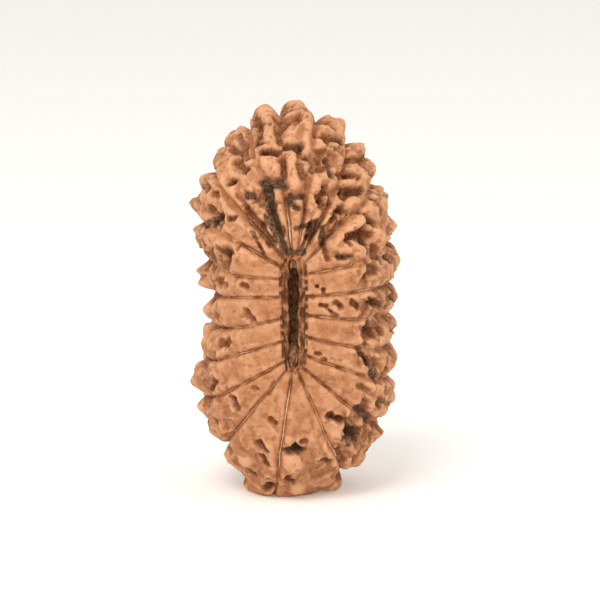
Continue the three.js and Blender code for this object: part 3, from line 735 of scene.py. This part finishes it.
    @staticmethod
    def _streaks(u: np.ndarray, turn: np.ndarray, width: np.ndarray, most: np.ndarray) -> np.ndarray:
        """Gives ridges that run along the faces from the slit outward.

        Args:
            u: Places round the bead.
            turn: The way from the front slit to the rear one.
            width: How wide the faces are there.
            most: How craggy the faces get; on the craggiest the ridges are high.

        Returns:
            The heights.
        """
        places = np.stack([(u - np.floor(u)) * width / 0.3 + 7 * np.floor(u), turn * 12, np.zeros_like(u)], axis=-1)
        strength = 0.055 + 0.12 * smooth(0.9, 1.0, most) * smooth(0.01, 0.06, turn)
        return strength * grain(places, 1.0, 17.0) * (1 - smooth(0.14, 0.34, turn))

    def _thread_strength(self, u: np.ndarray, turn: np.ndarray) -> np.ndarray:
        """Says how much of a thread each groove carries.

        Args:
            u: Places round the bead.
            turn: The way from the front slit to the rear one.

        Returns:
            Values from 0 to 1.
        """
        groove = np.round(u) % FACES
        places = np.stack([groove * 5.3, turn * 26, groove], axis=-1)
        strength = smooth(-0.45, 0.35, grain(places, 1.0, 23.0))
        return strength * smooth(0.01, 0.04, turn) * (1 - smooth(0.24, 0.38, turn))

    def _risen(
        self, finder: kdtree.KDTree, plain: np.ndarray, features: list[Feature], soft: bool = False
    ) -> tuple[np.ndarray, np.ndarray, np.ndarray]:
        """Adds up features over points.

        Args:
            finder: Finds the points near a place.
            plain: The points.
            features: The features.
            soft: Whether they are rounded, as knobs, or have steep walls and uneven rims, as pits.

        Returns:
            The height at each point, the dirt there, and how much a pit's steep wall it is.
        """
        flat = plain.reshape(-1, 3)
        sums, dirt, walls = np.zeros(len(flat)), np.zeros(len(flat)), np.zeros(len(flat))
        for number, feature in enumerate(features):
            middle = (feature.start + feature.end) / 2
            line = feature.end - feature.start
            reach = feature.radius * 1.6 + float(np.linalg.norm(line)) / 2
            near = [index for _, index, _ in finder.find_range(Vector(middle), reach)]
            if not near:
                continue
            spot = flat[near]
            length = float(line @ line)
            share = np.clip(((spot - feature.start) @ line) / length, 0, 1) if length else np.zeros(len(near))
            away = spot - feature.start - share[:, None] * line
            distance = np.linalg.norm(away, axis=1) / feature.radius
            if soft:
                rounded = 1 - smooth(feature.flat, 1, distance)
                top = rounded + feature.pointed * (np.clip(1 - distance, 0, 1) - rounded)
                sums[near] += (feature.height * top) ** 3
                continue
            uneven = 1 + 0.5 * grain(spot, 0.6, 20.0 + number) + 0.25 * grain(spot, 0.28, 40.0)
            inside = 1 - smooth(0.3, 1.08, distance * uneven)
            sums[near] = np.maximum(sums[near], feature.height * inside)
            dirt[near] = np.maximum(dirt[near], feature.dirt * inside)
            walls[near] = np.maximum(walls[near], 4 * inside * (1 - inside))
        heights = np.cbrt(sums) if soft else sums
        return heights.reshape(plain.shape[:-1]), dirt.reshape(plain.shape[:-1]), walls.reshape(plain.shape[:-1])


def _finder(points: np.ndarray) -> kdtree.KDTree:
    """Builds a finder of near points.

    Args:
        points: The points.

    Returns:
        The finder.
    """
    flat = points.reshape(-1, 3)
    finder = kdtree.KDTree(len(flat))
    for index, point in enumerate(flat):
        finder.insert(Vector(point), index)
    finder.balance()
    return finder


@dataclass
class Placement:
    """Sets the bead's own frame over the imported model's origin."""

    middle: np.ndarray
    base_drop: float = 1.0

    @classmethod
    def over_origin(cls, points: np.ndarray) -> "Placement":
        """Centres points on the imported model's own middle.

        Args:
            points: The shell's points, in millimetres.

        Returns:
            The placement.
        """
        flat = points.reshape(-1, 3)
        low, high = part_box(NODE)
        model = (np.array(low) + np.array(high)) / 2 / MM
        return cls((flat.min(0) + flat.max(0))[:2] / 2 - model[:2])

    def to_model(self, points: np.ndarray) -> np.ndarray:
        """Turns points of the bead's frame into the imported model's, with the bead cut flat below.

        Args:
            points: The points, in millimetres.

        Returns:
            The points, in metres.
        """
        moved = points - np.array([self.middle[0], self.middle[1], self.base_drop])
        moved[..., 2] = np.maximum(moved[..., 2], 0)
        return moved * MM


def new_object(name: str, points: np.ndarray, faces: list[tuple[int, ...]], finish: bpy.types.Material) -> bpy.types.Object:
    """Makes a smooth mesh object with one material.

    Args:
        name: The piece's name.
        points: The corners, in metres.
        faces: The faces, as numbers of corners.
        finish: The material.

    Returns:
        The object.
    """
    mesh = bpy.data.meshes.new(name)
    mesh.from_pydata(points.tolist(), [], faces)
    mesh.materials.append(finish)
    mesh.shade_smooth()
    mesh.update()
    made = bpy.data.objects.new(name, mesh)
    bpy.context.scene.collection.objects.link(made)
    return made


class Nodes:
    """Adds nodes to a material and joins them."""

    def __init__(self, name: str) -> None:
        """Starts an empty material with a shader and an output.

        Args:
            name: The material's name.
        """
        self.material = bpy.data.materials.new(name)
        self.material.use_nodes = True
        self.tree = self.material.node_tree
        self.shader = self.tree.nodes["Principled BSDF"]
        self.place = self.tree.nodes.new("ShaderNodeTexCoord").outputs["Object"]

    def add(self, kind: str, inputs: dict, **settings: object) -> bpy.types.Node:
        """Adds one node.

        Args:
            kind: The node's type.
            inputs: A value or a socket for each named or numbered input.
            settings: The node's own settings.

        Returns:
            The node.
        """
        made = self.tree.nodes.new(kind)
        for key, value in settings.items():
            setattr(made, key, value)
        for key, value in inputs.items():
            if isinstance(value, bpy.types.NodeSocket):
                self.tree.links.new(value, made.inputs[key])
            else:
                made.inputs[key].default_value = value
        return made

    def mask(self, mask: Mask) -> bpy.types.NodeSocket:
        """Returns the values of a painted mask."""
        return self.add("ShaderNodeAttribute", {}, attribute_name=mask.value).outputs["Fac"]

    def noise(self, scale: float, detail: float = 3.0, roughness: float = 0.55) -> bpy.types.NodeSocket:
        """Adds noise over the object.

        Args:
            scale: Hills to the metre.
            detail: Layers of finer noise.
            roughness: How strong the finer layers are.

        Returns:
            The noise's values.
        """
        inputs = {"Vector": self.place, "Scale": scale, "Detail": detail, "Roughness": roughness}
        return self.add("ShaderNodeTexNoise", inputs).outputs["Fac"]

    def ramp(self, value: bpy.types.NodeSocket, low: float, high: float) -> bpy.types.NodeSocket:
        """Stretches values so that low becomes 0 and high becomes 1.

        Args:
            value: The values.
            low: What becomes 0.
            high: What becomes 1.

        Returns:
            The stretched values, from 0 to 1.
        """
        inputs = {"Value": value, "From Min": low, "From Max": high}
        return self.add("ShaderNodeMapRange", inputs, interpolation_type="SMOOTHSTEP").outputs["Result"]

    def maths(self, operation: str, *values: object) -> bpy.types.NodeSocket:
        """Joins values by one sum.

        Args:
            operation: The kind of sum.
            values: Numbers or sockets.

        Returns:
            The result.
        """
        return self.add("ShaderNodeMath", dict(enumerate(values)), operation=operation).outputs[0]

    def mix(self, share: object, first: object, second: object, blend: str = "MIX") -> bpy.types.NodeSocket:
        """Mixes two colours.

        Args:
            share: How much of the second one.
            first: The first colour.
            second: The second colour.
            blend: How they are mixed.

        Returns:
            The mixed colour.
        """
        inputs = {0: share, 6: first, 7: second}
        return self.add("ShaderNodeMix", inputs, data_type="RGBA", blend_type=blend).outputs[2]


@dataclass(frozen=True)
class ShellFinish:
    """The dry, matt, tan brown of the seed's shell, with painted shade in its pits, hollows, grooves and slit, and
    painted highlights on its crests.
    """

    tan: tuple[float, float, float, float] = (0.465, 0.190, 0.079, 1)
    # Pale tan: painted highlight on crests, and random pale tone.
    pale: tuple[float, float, float, float] = (0.80, 0.415, 0.225, 1)
    # Darker brown: painted shade in hollows, and random darker tone.
    deep: tuple[float, float, float, float] = (0.345, 0.117, 0.038, 1)
    # Dark red-brown of the painted shade in pits and hollows.
    pit: tuple[float, float, float, float] = (0.230, 0.066, 0.015, 1)
    # Dark brown of the painted shade along the grooves.
    groove: tuple[float, float, float, float] = (0.21, 0.068, 0.019, 1)
    thread: tuple[float, float, float, float] = (0.68, 0.36, 0.18, 1)
    dirt: tuple[float, float, float, float] = (0.052, 0.036, 0.021, 1)
    # Dark brown of the painted shade in the slit.
    slit: tuple[float, float, float, float] = (0.125, 0.040, 0.011, 1)

    def material(self) -> bpy.types.Material:
        """Returns the material."""
        nodes = Nodes("seed_shell")
        broad = nodes.ramp(nodes.noise(260, 3), 0.35, 0.68)
        middle = nodes.ramp(nodes.noise(1100, 5, 0.65), 0.32, 0.68)
        fine = nodes.noise(3800, 3, 0.6)
        colour = nodes.mix(nodes.maths("MULTIPLY", broad, 0.6), self.tan, self.deep)
        # Painted shade: darker where the surface lies below the points round it.
        low = nodes.maths("SUBTRACT", 1.0, nodes.ramp(nodes.mask(Mask.LIGHT_AND_SHADE), 0.28, 0.52))
        colour = nodes.mix(nodes.maths("MULTIPLY", low, 0.7), colour, self.deep)
        # Painted highlight: paler on crests, mixed with random pale tone.
        high = nodes.ramp(nodes.mask(Mask.LIGHT_AND_SHADE), 0.5, 0.72)
        share = nodes.maths("MULTIPLY_ADD", high, 0.55, nodes.maths("MULTIPLY", middle, 0.36))
        colour = nodes.mix(share, colour, self.pale)
        patches = nodes.maths("MULTIPLY", nodes.ramp(nodes.noise(560, 2), 0.46, 0.62), 0.3)
        colour = nodes.mix(patches, colour, self.pale)
        specks = nodes.maths("MULTIPLY", nodes.ramp(nodes.noise(1500, 2, 0.5), 0.55, 0.68), 0.65)
        colour = nodes.mix(specks, colour, self.deep)
        speckle = nodes.ramp(fine, 0.42, 0.62)
        speckled = nodes.maths("MULTIPLY_ADD", speckle, 0.4, 0.6)
        # Painted shade in pits, hollows and clefts.
        pit = nodes.maths("MULTIPLY", nodes.mask(Mask.PIT_SHADE), nodes.maths("MULTIPLY_ADD", middle, -0.6, 1.2))
        colour = nodes.mix(nodes.maths("MULTIPLY", pit, speckled), colour, self.pit)
        # Painted shade along the grooves.
        gap = nodes.maths("ADD", nodes.mask(Mask.GAP), nodes.maths("MULTIPLY_ADD", middle, 0.12, -0.06))
        groove = nodes.maths("SUBTRACT", 1.0, nodes.ramp(gap, 0.08, 0.20))
        groove = nodes.maths("MULTIPLY", groove, nodes.maths("MULTIPLY_ADD", middle, -0.5, 1.0))
        colour = nodes.mix(groove, colour, self.groove)
        thread = nodes.maths("SUBTRACT", 1.0, nodes.ramp(nodes.mask(Mask.GAP), 0.03, 0.09))
        thread = nodes.maths("MULTIPLY", thread, nodes.maths("MULTIPLY", nodes.mask(Mask.THREAD), 0.7))
        colour = nodes.mix(thread, colour, self.thread)
        smudge = nodes.maths("MULTIPLY_ADD", middle, 0.5, nodes.maths("ADD", nodes.mask(Mask.DIRT), -0.25))
        dirt = nodes.maths("MULTIPLY", nodes.ramp(smudge, 0.1, 0.85), speckled)
        colour = nodes.mix(dirt, colour, self.dirt)
        # Painted shade: full on the slit's inner wall, patchy on its lip and along its crack.
        patchy_shade = nodes.maths("MULTIPLY_ADD", nodes.noise(3400, 3, 0.65), 1.0, nodes.maths("ADD", nodes.mask(Mask.SLIT_SHADE), -0.5))
        full = nodes.ramp(nodes.mask(Mask.SLIT_SHADE), 0.8, 1.0)
        colour = nodes.mix(nodes.maths("MAXIMUM", full, nodes.ramp(patchy_shade, 0.1, 0.9)), colour, self.slit)
        tree = nodes.tree
        tree.links.new(colour, nodes.shader.inputs["Base Color"])
        rough = nodes.maths("MULTIPLY_ADD", middle, 0.18, 0.66)
        tree.links.new(rough, nodes.shader.inputs["Roughness"])
        nodes.shader.inputs["Specular IOR Level"].default_value = 0.25
        lumps = nodes.maths("MULTIPLY_ADD", nodes.mask(Mask.PIT_SHADE), 1.3, 0.8)
        uneven = nodes.maths("MULTIPLY", nodes.noise(1700, 4, 0.65), lumps)
        coarse = nodes.add("ShaderNodeBump", {"Height": uneven, "Distance": 0.00036, "Strength": 1.0})
        bump = nodes.add(
            "ShaderNodeBump",
            {"Height": fine, "Distance": 0.0001, "Strength": 0.8, "Normal": coarse.outputs["Normal"]},
        )
        tree.links.new(bump.outputs["Normal"], nodes.shader.inputs["Normal"])
        return nodes.material


@dataclass(frozen=True)
class FibreFinish:
    """The pale, dull fibre that lies in grooves and, browner, in the slit."""

    name: str
    light: tuple[float, float, float, float]
    dark: tuple[float, float, float, float]

    def material(self) -> bpy.types.Material:
        """Returns the material."""
        nodes = Nodes(self.name)
        share = nodes.ramp(nodes.noise(2600, 3, 0.6), 0.35, 0.65)
        colour = nodes.mix(share, self.light, self.dark)
        nodes.tree.links.new(colour, nodes.shader.inputs["Base Color"])
        nodes.shader.inputs["Roughness"].default_value = 0.85
        nodes.shader.inputs["Specular IOR Level"].default_value = 0.2
        bump = nodes.add("ShaderNodeBump", {"Height": nodes.noise(6000, 2), "Distance": 0.00004, "Strength": 0.8})
        nodes.tree.links.new(bump.outputs["Normal"], nodes.shader.inputs["Normal"])
        return nodes.material


@dataclass
class BeadShell:
    """The whole bead as one closed fine mesh."""

    form: PlainForm
    relief: Relief
    front_rows: int = 112
    back_rows: int = 64
    column_step: float = 0.2
    stray: float = 0.28
    groove_columns: tuple[float, ...] = (0.08, 0.17, 0.3, 0.48)

    def columns(self) -> np.ndarray:
        """Returns the columns' places round the bead, close together at the grooves."""
        places: list[float] = []
        for face in range(FACES):
            width = float(self.form.face_width(np.array(face), np.array(0.5)))
            near = [offset / width for offset in self.groove_columns]
            inner = 1 - 2 * near[-1]
            steps = max(4, round(inner * width / self.column_step))
            even = [near[-1] + inner * step / steps for step in range(1, steps)]
            shares = [0.0, *near, *even, *[1 - share for share in reversed(near)]]
            places += [face + share for share in shares]
        return np.array(places)

    def rows(self) -> np.ndarray:
        """Returns the rows' turns: evenly spaced over the surface, but closer at the front slit."""
        return np.concatenate([self._even(0, 0.5, self.front_rows, 5.0)[:-1], self._even(0.5, 1, self.back_rows, 0.0)])

    def _even(self, low: float, high: float, count: int, pull: float) -> np.ndarray:
        """Spaces turns evenly over the surface.

        Args:
            low: The first turn.
            high: The last turn.
            count: How many.
            pull: How much closer together they are at the first one.

        Returns:
            The turns.
        """
        turn = np.linspace(low, high, 4001)
        lines = [self.form.outer(face, turn) for face in (0.5, 5.5, 10.5, 15.5)]
        steps = np.mean([np.linalg.norm(np.diff(line, axis=0), axis=1) for line in lines], axis=0)
        way = np.concatenate([[0], np.cumsum(steps)])
        density = steps * (1 + pull * np.exp(-way[1:] / 0.35))
        total = np.concatenate([[0], np.cumsum(density)])
        return np.interp(np.linspace(0, total[-1], count), total, turn)

    def channel(self, columns: np.ndarray) -> tuple[np.ndarray, np.ndarray]:
        """Gives the rings of the slit's wall, from the rear lip to the front one.

        Args:
            columns: The places round the bead.

        Returns:
            The rings' points, and how much painted shade each point takes.
        """
        front, back, rear_share = self.form.front_depth, self.form.back_depth, self.form.back_slit_share
        # The deep rings take the painted shade in full; the lip's rings take less of it, mottled.
        rings = (
            (0.78, 0.95, back - 0.1, 1.0), (0.55, 0.93, back - 0.25, 1.0), (0.46, 0.9, back - 0.8, 1.0),
            (0.48, 0.75, back - 2.5, 1.0), (0.5, 0.62, back / 2, 1.0), (0.5, 0.6, 0.0, 1.0),
            (0.5, 0.6, -front / 2, 1.0), (0.46, 0.72, 3.0 - front, 1.0), (0.42, 0.86, 1.4 - front, 1.0),
            (0.40, 0.91, 0.7 - front, 0.95), (0.40, 0.93, 0.4 - front, 0.9), (0.42, 0.94, 0.22 - front, 0.75),
            (0.46, 0.95, 0.15 - front, 0.66), (0.51, 0.958, 0.11 - front, 0.55), (0.57, 0.965, 0.13 - front, 0.55),
            (0.65, 0.972, 0.18 - front, 0.66), (0.73, 0.98, 0.17 - front, 0.62), (0.81, 0.985, 0.15 - front, 0.56),
            (0.89, 0.99, 0.17 - front, 0.60), (0.95, 0.995, 0.24 - front, 0.70),
        )
        made, dark = [], []
        for wide, long, y, shade in rings:
            share = long * rear_share if y > 0 else long
            points = self.form.lip(columns, wide, share, y)
            stretched = points * np.array([1.0, 1.0, 0.45])
            rough = grain(stretched, 0.34, 5.0)
            free = 1 - max(0.0, (wide - 0.4) / 0.6) ** 2
            end = smooth(3.9, 5.0, np.abs(points[:, 2] - self.form.slit_height))
            points[:, 0] += 0.2 * free * grain(points, 0.8, 13.0) + 0.05 * grain(points, 0.3, 60.0 + 9 * wide)
            points[:, 1] += 0.28 * rough + 0.06 * np.cos(2 * math.pi * columns) * (wide > 0.5)
            made.append(points)
            # Painted shade on the lip: patchy, weaker near the slit's ends, and darker on the left.
            mottled = shade * (1 - 0.45 * end) + 0.45 * rough + 0.25 * grain(points, 0.5, 71.0 + wide)
            mottled += 0.16 * (1 - smooth(-0.3, 0.3, points[:, 0]))
            dark.append(np.clip(mottled if shade < 0.8 else np.full(len(rough), shade), 0, 1))
        return np.array(made), np.array(dark)

    def shaped(self) -> tuple[np.ndarray, dict[Mask, np.ndarray]]:
        """Works out the whole surface.

        Returns:
            The points as rings round the bead, in millimetres, and the value of each mask at them.
        """
        columns = self.columns()
        turn, u = np.meshgrid(self.rows(), columns, indexing="ij")
        outside, masks = self.relief.shaped(u, turn)
        outside += self.relief.wobble * drift(outside, 3.2) * smooth(0, 0.12, turn)[..., None]
        outside = settled(outside, self.stray)
        inside, dark = self.channel(columns)
        # The slit's wall takes its painted shade, and no groove shade or thread.
        fill = {Mask.SLIT_SHADE: dark, Mask.GAP: np.full(dark.shape, 9.0)}
        whole = {mask: np.concatenate([values, fill.get(mask, np.zeros(dark.shape))]) for mask, values in masks.items()}
        return np.concatenate([outside, inside]), whole

    def build(
        self,
        points: np.ndarray,
        masks: dict[Mask, np.ndarray],
        placement: Placement,
        finish: bpy.types.Material,
    ) -> bpy.types.Object:
        """Builds the shell.

        Args:
            points: The surface's points.
            masks: The value of each mask at them.
            placement: Where the bead stands.
            finish: Its material.

        Returns:
            The shell's object.
        """
        rows, across = points.shape[:2]
        corner = np.arange(rows * across).reshape(rows, across)
        below, beside = np.roll(corner, -1, axis=0), np.roll(corner, -1, axis=1)
        diagonal = np.roll(below, -1, axis=1)
        faces = np.stack([corner, beside, diagonal, below], axis=-1).reshape(-1, 4).tolist()
        shell = new_object("bead_shell", placement.to_model(points).reshape(-1, 3), faces, finish)
        for mask, values in masks.items():
            layer = shell.data.attributes.new(mask.value, "FLOAT", "POINT")
            layer.data.foreach_set("value", values.astype(np.float32).ravel())
        return shell


@dataclass
class GrooveFibres:
    """Pale fibres that lie along grooves on the front."""

    form: PlainForm
    relief: Relief
    placement: Placement
    sides: int = 6
    steps: int = 40
    lift: float = -0.02

    def build(self, finish: bpy.types.Material) -> bpy.types.Object:
        """Builds all the fibres as one mesh of thin closed tubes.

        Args:
            finish: Their material.

        Returns:
            The fibres' object.
        """
        points: list[np.ndarray] = []
        faces: list[tuple[int, ...]] = []
        for number, (groove, low, high, thickness) in enumerate(FIBRES):
            line, up = self._line(groove, low, high, number)
            self._tube(line, up, thickness / 2, points, faces)
        return new_object("groove_fibres", self.placement.to_model(np.array(points)), faces, finish)

    def _line(self, groove: int, low: float, high: float, number: int) -> tuple[np.ndarray, np.ndarray]:
        """Lays one fibre's line in its groove.

        Args:
            groove: The groove's number.
            low: Where the fibre starts.
            high: Where it ends.
            number: The fibre's own number.

        Returns:
            The line's points, and the way out of the surface at each.
        """
        turn = np.linspace(low, high, self.steps)
        wander = 0.03 * np.sin(turn * 60 + number * 1.7) + 0.02 * np.sin(turn * 131 + number)
        width = self.form.face_width(np.full_like(turn, groove), turn)
        u = groove + wander / width
        surface, _ = self.relief.shaped(np.tile(u, (2, 1)), np.tile(turn, (2, 1)))
        plain, up = self.form.outer(u, turn), self.form.normal(u, turn)
        depth = np.einsum("ij,ij->i", surface[0] - plain, up)
        smoothed = np.convolve(np.pad(depth, 3, mode="edge"), np.ones(7) / 7, mode="valid")
        line = plain + up * (smoothed + self.lift)[:, None]
        return line + self.relief.wobble * drift(line, 3.2) * smooth(0, 0.12, turn)[:, None], up

    def _tube(
        self,
        line: np.ndarray,
        up: np.ndarray,
        radius: float,
        points: list[np.ndarray],
        faces: list[tuple[int, ...]],
    ) -> None:
        """Adds a thin closed tube that tapers at both ends.

        Args:
            line: The line it follows.
            up: The way out of the surface at each point.
            radius: Its radius.
            points: The corners so far, which grow.
            faces: The faces so far, which grow.
        """
        base = len(points)
        ahead = np.gradient(line, axis=0)
        ahead /= np.linalg.norm(ahead, axis=1, keepdims=True)
        side = np.cross(ahead, up)
        for step, (place, out, beside) in enumerate(zip(line, up, side)):
            end = min(step, len(line) - 1 - step) / 6
            size = radius * min(1.0, 0.25 + 0.75 * end)
            for corner in range(self.sides):
                angle = 2 * math.pi * corner / self.sides
                points.append(place + size * (math.cos(angle) * beside + math.sin(angle) * out))
        last = len(line) - 1
        for step in range(last):
            for corner in range(self.sides):
                after = (corner + 1) % self.sides
                here, there = base + step * self.sides, base + (step + 1) * self.sides
                faces.append((here + corner, here + after, there + after, there + corner))
        faces.append(tuple(base + corner for corner in reversed(range(self.sides))))
        faces.append(tuple(base + last * self.sides + corner for corner in range(self.sides)))


@dataclass
class SlitFibre:
    """The grey-brown fibre in the front slit: close to the surface below, deep and dark above."""

    form: PlainForm
    placement: Placement
    low: float = 13.2
    high: float = 23.6
    half_width: float = 0.62
    shallow: float = 0.42
    deep: float = 2.4
    thickness: float = 0.9
    across_steps: int = 14
    up_steps: int = 150
    strands: int = 70
    strand_width: float = 0.12

    def sunk(self, z: np.ndarray | float) -> np.ndarray:
        """Says how far the fibre lies behind the front.

        Args:
            z: Heights, in millimetres.

        Returns:
            The depths.
        """
        open_part = smooth(15.0, 16.6, z) * (1 - smooth(22.1, 22.8, z))
        return self.shallow + (self.deep - self.shallow) * open_part

    def build(self, finish: bpy.types.Material) -> bpy.types.Object:
        """Builds the fibre as a lumpy fill with short strands across it.

        Args:
            finish: Its material.

        Returns:
            The fibre's object.
        """
        points: list[np.ndarray] = []
        faces: list[tuple[int, ...]] = []
        self._fill(points, faces)
        for strand in range(self.strands):
            self._strand(self._line(strand), self.strand_width * (0.6 + 0.8 * chance(strand, 5)) / 2, points, faces)
        return new_object("slit_fibre", self.placement.to_model(np.array(points)), faces, finish)

    def _fill(self, points: list[np.ndarray], faces: list[tuple[int, ...]]) -> None:
        """Adds the lumpy fill.

        Args:
            points: The corners so far, which grow.
            faces: The faces so far, which grow.
        """
        z, x = np.meshgrid(
            np.linspace(self.low, self.high, self.up_steps),
            np.linspace(-self.half_width, self.half_width, self.across_steps),
            indexing="ij",
        )
        near = np.stack([x, self.sunk(z) - self.form.front_depth, z], axis=-1)
        near[..., 1] += 0.16 * grain(near * np.array([1, 1, 0.5]), 0.3, 3.0) + 0.3 * (x / self.half_width) ** 2
        far = near + np.array([0, self.thickness, 0])
        start = len(points)
        points.extend(np.concatenate([near, far[:, ::-1]], axis=1).reshape(-1, 3))
        rows, across = z.shape[0], 2 * z.shape[1]
        for row in range(rows - 1):
            for column in range(across):
                here, after = start + row * across + column, start + row * across + (column + 1) % across
                faces.append((here, after, after + across, here + across))
        faces.append(tuple(start + column for column in reversed(range(across))))
        faces.append(tuple(start + (rows - 1) * across + column for column in range(across)))

    def _line(self, strand: int) -> np.ndarray:
        """Lays one strand.

        Args:
            strand: Its number.

        Returns:
            Its line's points.
        """
        middle = self.low + 0.5 + (self.high - self.low - 1) * (strand + 0.5) / self.strands
        tilt = (chance(strand, 1) - 0.5) * 1.6
        reach = 0.3 + 0.5 * chance(strand, 2)
        x = (chance(strand, 3) - 0.5) * self.half_width * 1.2
        share = np.linspace(-1, 1, 8)
        line = np.zeros((8, 3))
        line[:, 0] = np.clip(x + 0.5 * reach * math.sin(tilt) * share, -self.half_width, self.half_width)
        line[:, 2] = middle + reach * math.cos(tilt) * share
        line[:, 1] = self.sunk(line[:, 2]) - self.form.front_depth
        line[:, 1] += 0.1 * np.sin(share * 4 + strand) + 0.14 * (chance(strand, 4) - 0.6)
        return line

    @staticmethod
    def _strand(line: np.ndarray, radius: float, points: list[np.ndarray], faces: list[tuple[int, ...]]) -> None:
        """Adds one closed strand of five sides.

        Args:
            line: The line it follows.
            radius: Its radius.
            points: The corners so far, which grow.
            faces: The faces so far, which grow.
        """
        sides, base = 5, len(points)
        for place in line:
            for corner in range(sides):
                angle = 2 * math.pi * corner / sides
                points.append(place + radius * np.array([math.cos(angle), math.sin(angle), 0]))
        for step in range(len(line) - 1):
            here, there = base + step * sides, base + (step + 1) * sides
            for corner in range(sides):
                after = (corner + 1) % sides
                faces.append((here + corner, here + after, there + after, there + corner))
        faces.append(tuple(base + corner for corner in reversed(range(sides))))
        faces.append(tuple(base + (len(line) - 1) * sides + corner for corner in range(sides)))


@dataclass
class Studio:
    """A plain pale floor, soft lights and the camera."""

    eye: Eye
    placement: Placement
    floor_reach: float = 4.0
    world_light: float = 0.79
    key_power: float = 1.25
    fill_power: float = 0.3
    floor_glow: float = 0.155

    def build(self) -> None:
        """Sets up the floor, the lights, the world, the camera and how colours are shown."""
        self._floor()
        self._world()
        self._light("key", (-0.12, -0.26, 0.40), 0.22, self.key_power)
        self._light("fill", (0.30, -0.20, 0.20), 0.30, self.fill_power)
        self._camera()
        view = bpy.context.scene.view_settings
        view.view_transform = "Standard"
        view.look = "None"
        view.exposure = 0.0
        view.gamma = 1.0

    def _floor(self) -> None:
        """Makes the floor."""
        nodes = Nodes("pale_floor")
        colour = nodes.mix(nodes.noise(3, 2), (0.885, 0.868, 0.84, 1), (0.905, 0.89, 0.865, 1))
        nodes.tree.links.new(colour, nodes.shader.inputs["Base Color"])
        nodes.shader.inputs["Roughness"].default_value = 0.6
        nodes.shader.inputs["Specular IOR Level"].default_value = 0.1
        nodes.shader.inputs["Emission Color"].default_value = (1.0, 0.985, 0.955, 1)
        nodes.shader.inputs["Emission Strength"].default_value = self.floor_glow
        reach = self.floor_reach
        corners = np.array([(-reach, -reach, 0), (reach, -reach, 0), (reach, reach, 0), (-reach, reach, 0)])
        new_object("floor", corners, [(0, 1, 2, 3)], nodes.material)

    def _world(self) -> None:
        """Lights everything softly from all round."""
        world = bpy.data.worlds.new("soft_room")
        world.use_nodes = True
        background = world.node_tree.nodes["Background"]
        background.inputs["Color"].default_value = (1.0, 0.99, 0.965, 1)
        background.inputs["Strength"].default_value = self.world_light
        bpy.context.scene.world = world

    def _light(self, name: str, place: tuple[float, float, float], size: float, power: float) -> None:
        """Adds a soft square light that points at the bead.

        Args:
            name: Its name.
            place: Where it is, in metres.
            size: Its width, in metres.
            power: Its power, in watts.
        """
        lamp = bpy.data.lights.new(name, "AREA")
        lamp.size = size
        lamp.energy = power
        lamp.color = (1.0, 0.97, 0.92)
        made = bpy.data.objects.new(name, lamp)
        bpy.context.scene.collection.objects.link(made)
        made.location = place
        aim = Vector((0, 0, self.eye.aim[2] * MM))
        made.rotation_euler = (aim - Vector(place)).to_track_quat("-Z", "Y").to_euler()

    def _camera(self) -> None:
        """Makes the camera at the photographed angle."""
        lens = bpy.data.cameras.new("camera")
        lens.sensor_width = 36.0
        lens.lens = 36.0 * self.eye.distance / self.eye.field_width
        lens.clip_start, lens.clip_end = 0.01, 50.0
        camera = bpy.data.objects.new("camera", lens)
        bpy.context.scene.collection.objects.link(camera)
        aim = Vector(self.placement.to_model(np.array(self.eye.aim)))
        back = Vector((0, -math.cos(self.eye.rise), math.sin(self.eye.rise)))
        camera.location = aim + back * self.eye.distance * MM
        camera.rotation_euler = (-back).to_track_quat("-Z", "Y").to_euler()
        bpy.context.scene.camera = camera


def declare(piece: bpy.types.Object) -> None:
    """Ties a piece to the bead's body, hides the imported bead, and reports it.

    Args:
        piece: The piece.
    """
    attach(piece, BODY)
    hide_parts(NODE)
    LOG.info("%s: %d faces", piece.name, len(piece.data.polygons))


def main() -> None:
    """Builds the bead's pieces and the studio round them."""
    logging.basicConfig(level=logging.INFO, format="%(name)s: %(message)s")
    eye = Eye()
    form = PlainForm()
    relief = Relief(form, eye)
    shell = BeadShell(form, relief)
    points, masks = shell.shaped()
    placement = Placement.over_origin(points)
    declare(shell.build(points, masks, placement, ShellFinish().material()))
    pale = FibreFinish("pale_fibre", (0.80, 0.56, 0.37, 1), (0.58, 0.31, 0.155, 1))
    declare(GrooveFibres(form, relief, placement).build(pale.material()))
    grey = FibreFinish("grey_fibre", (0.42, 0.21, 0.10, 1), (0.17, 0.065, 0.022, 1))
    declare(SlitFibre(form, placement).build(grey.material()))
    Studio(eye, placement).build()


if __name__ == "__main__":
    main()
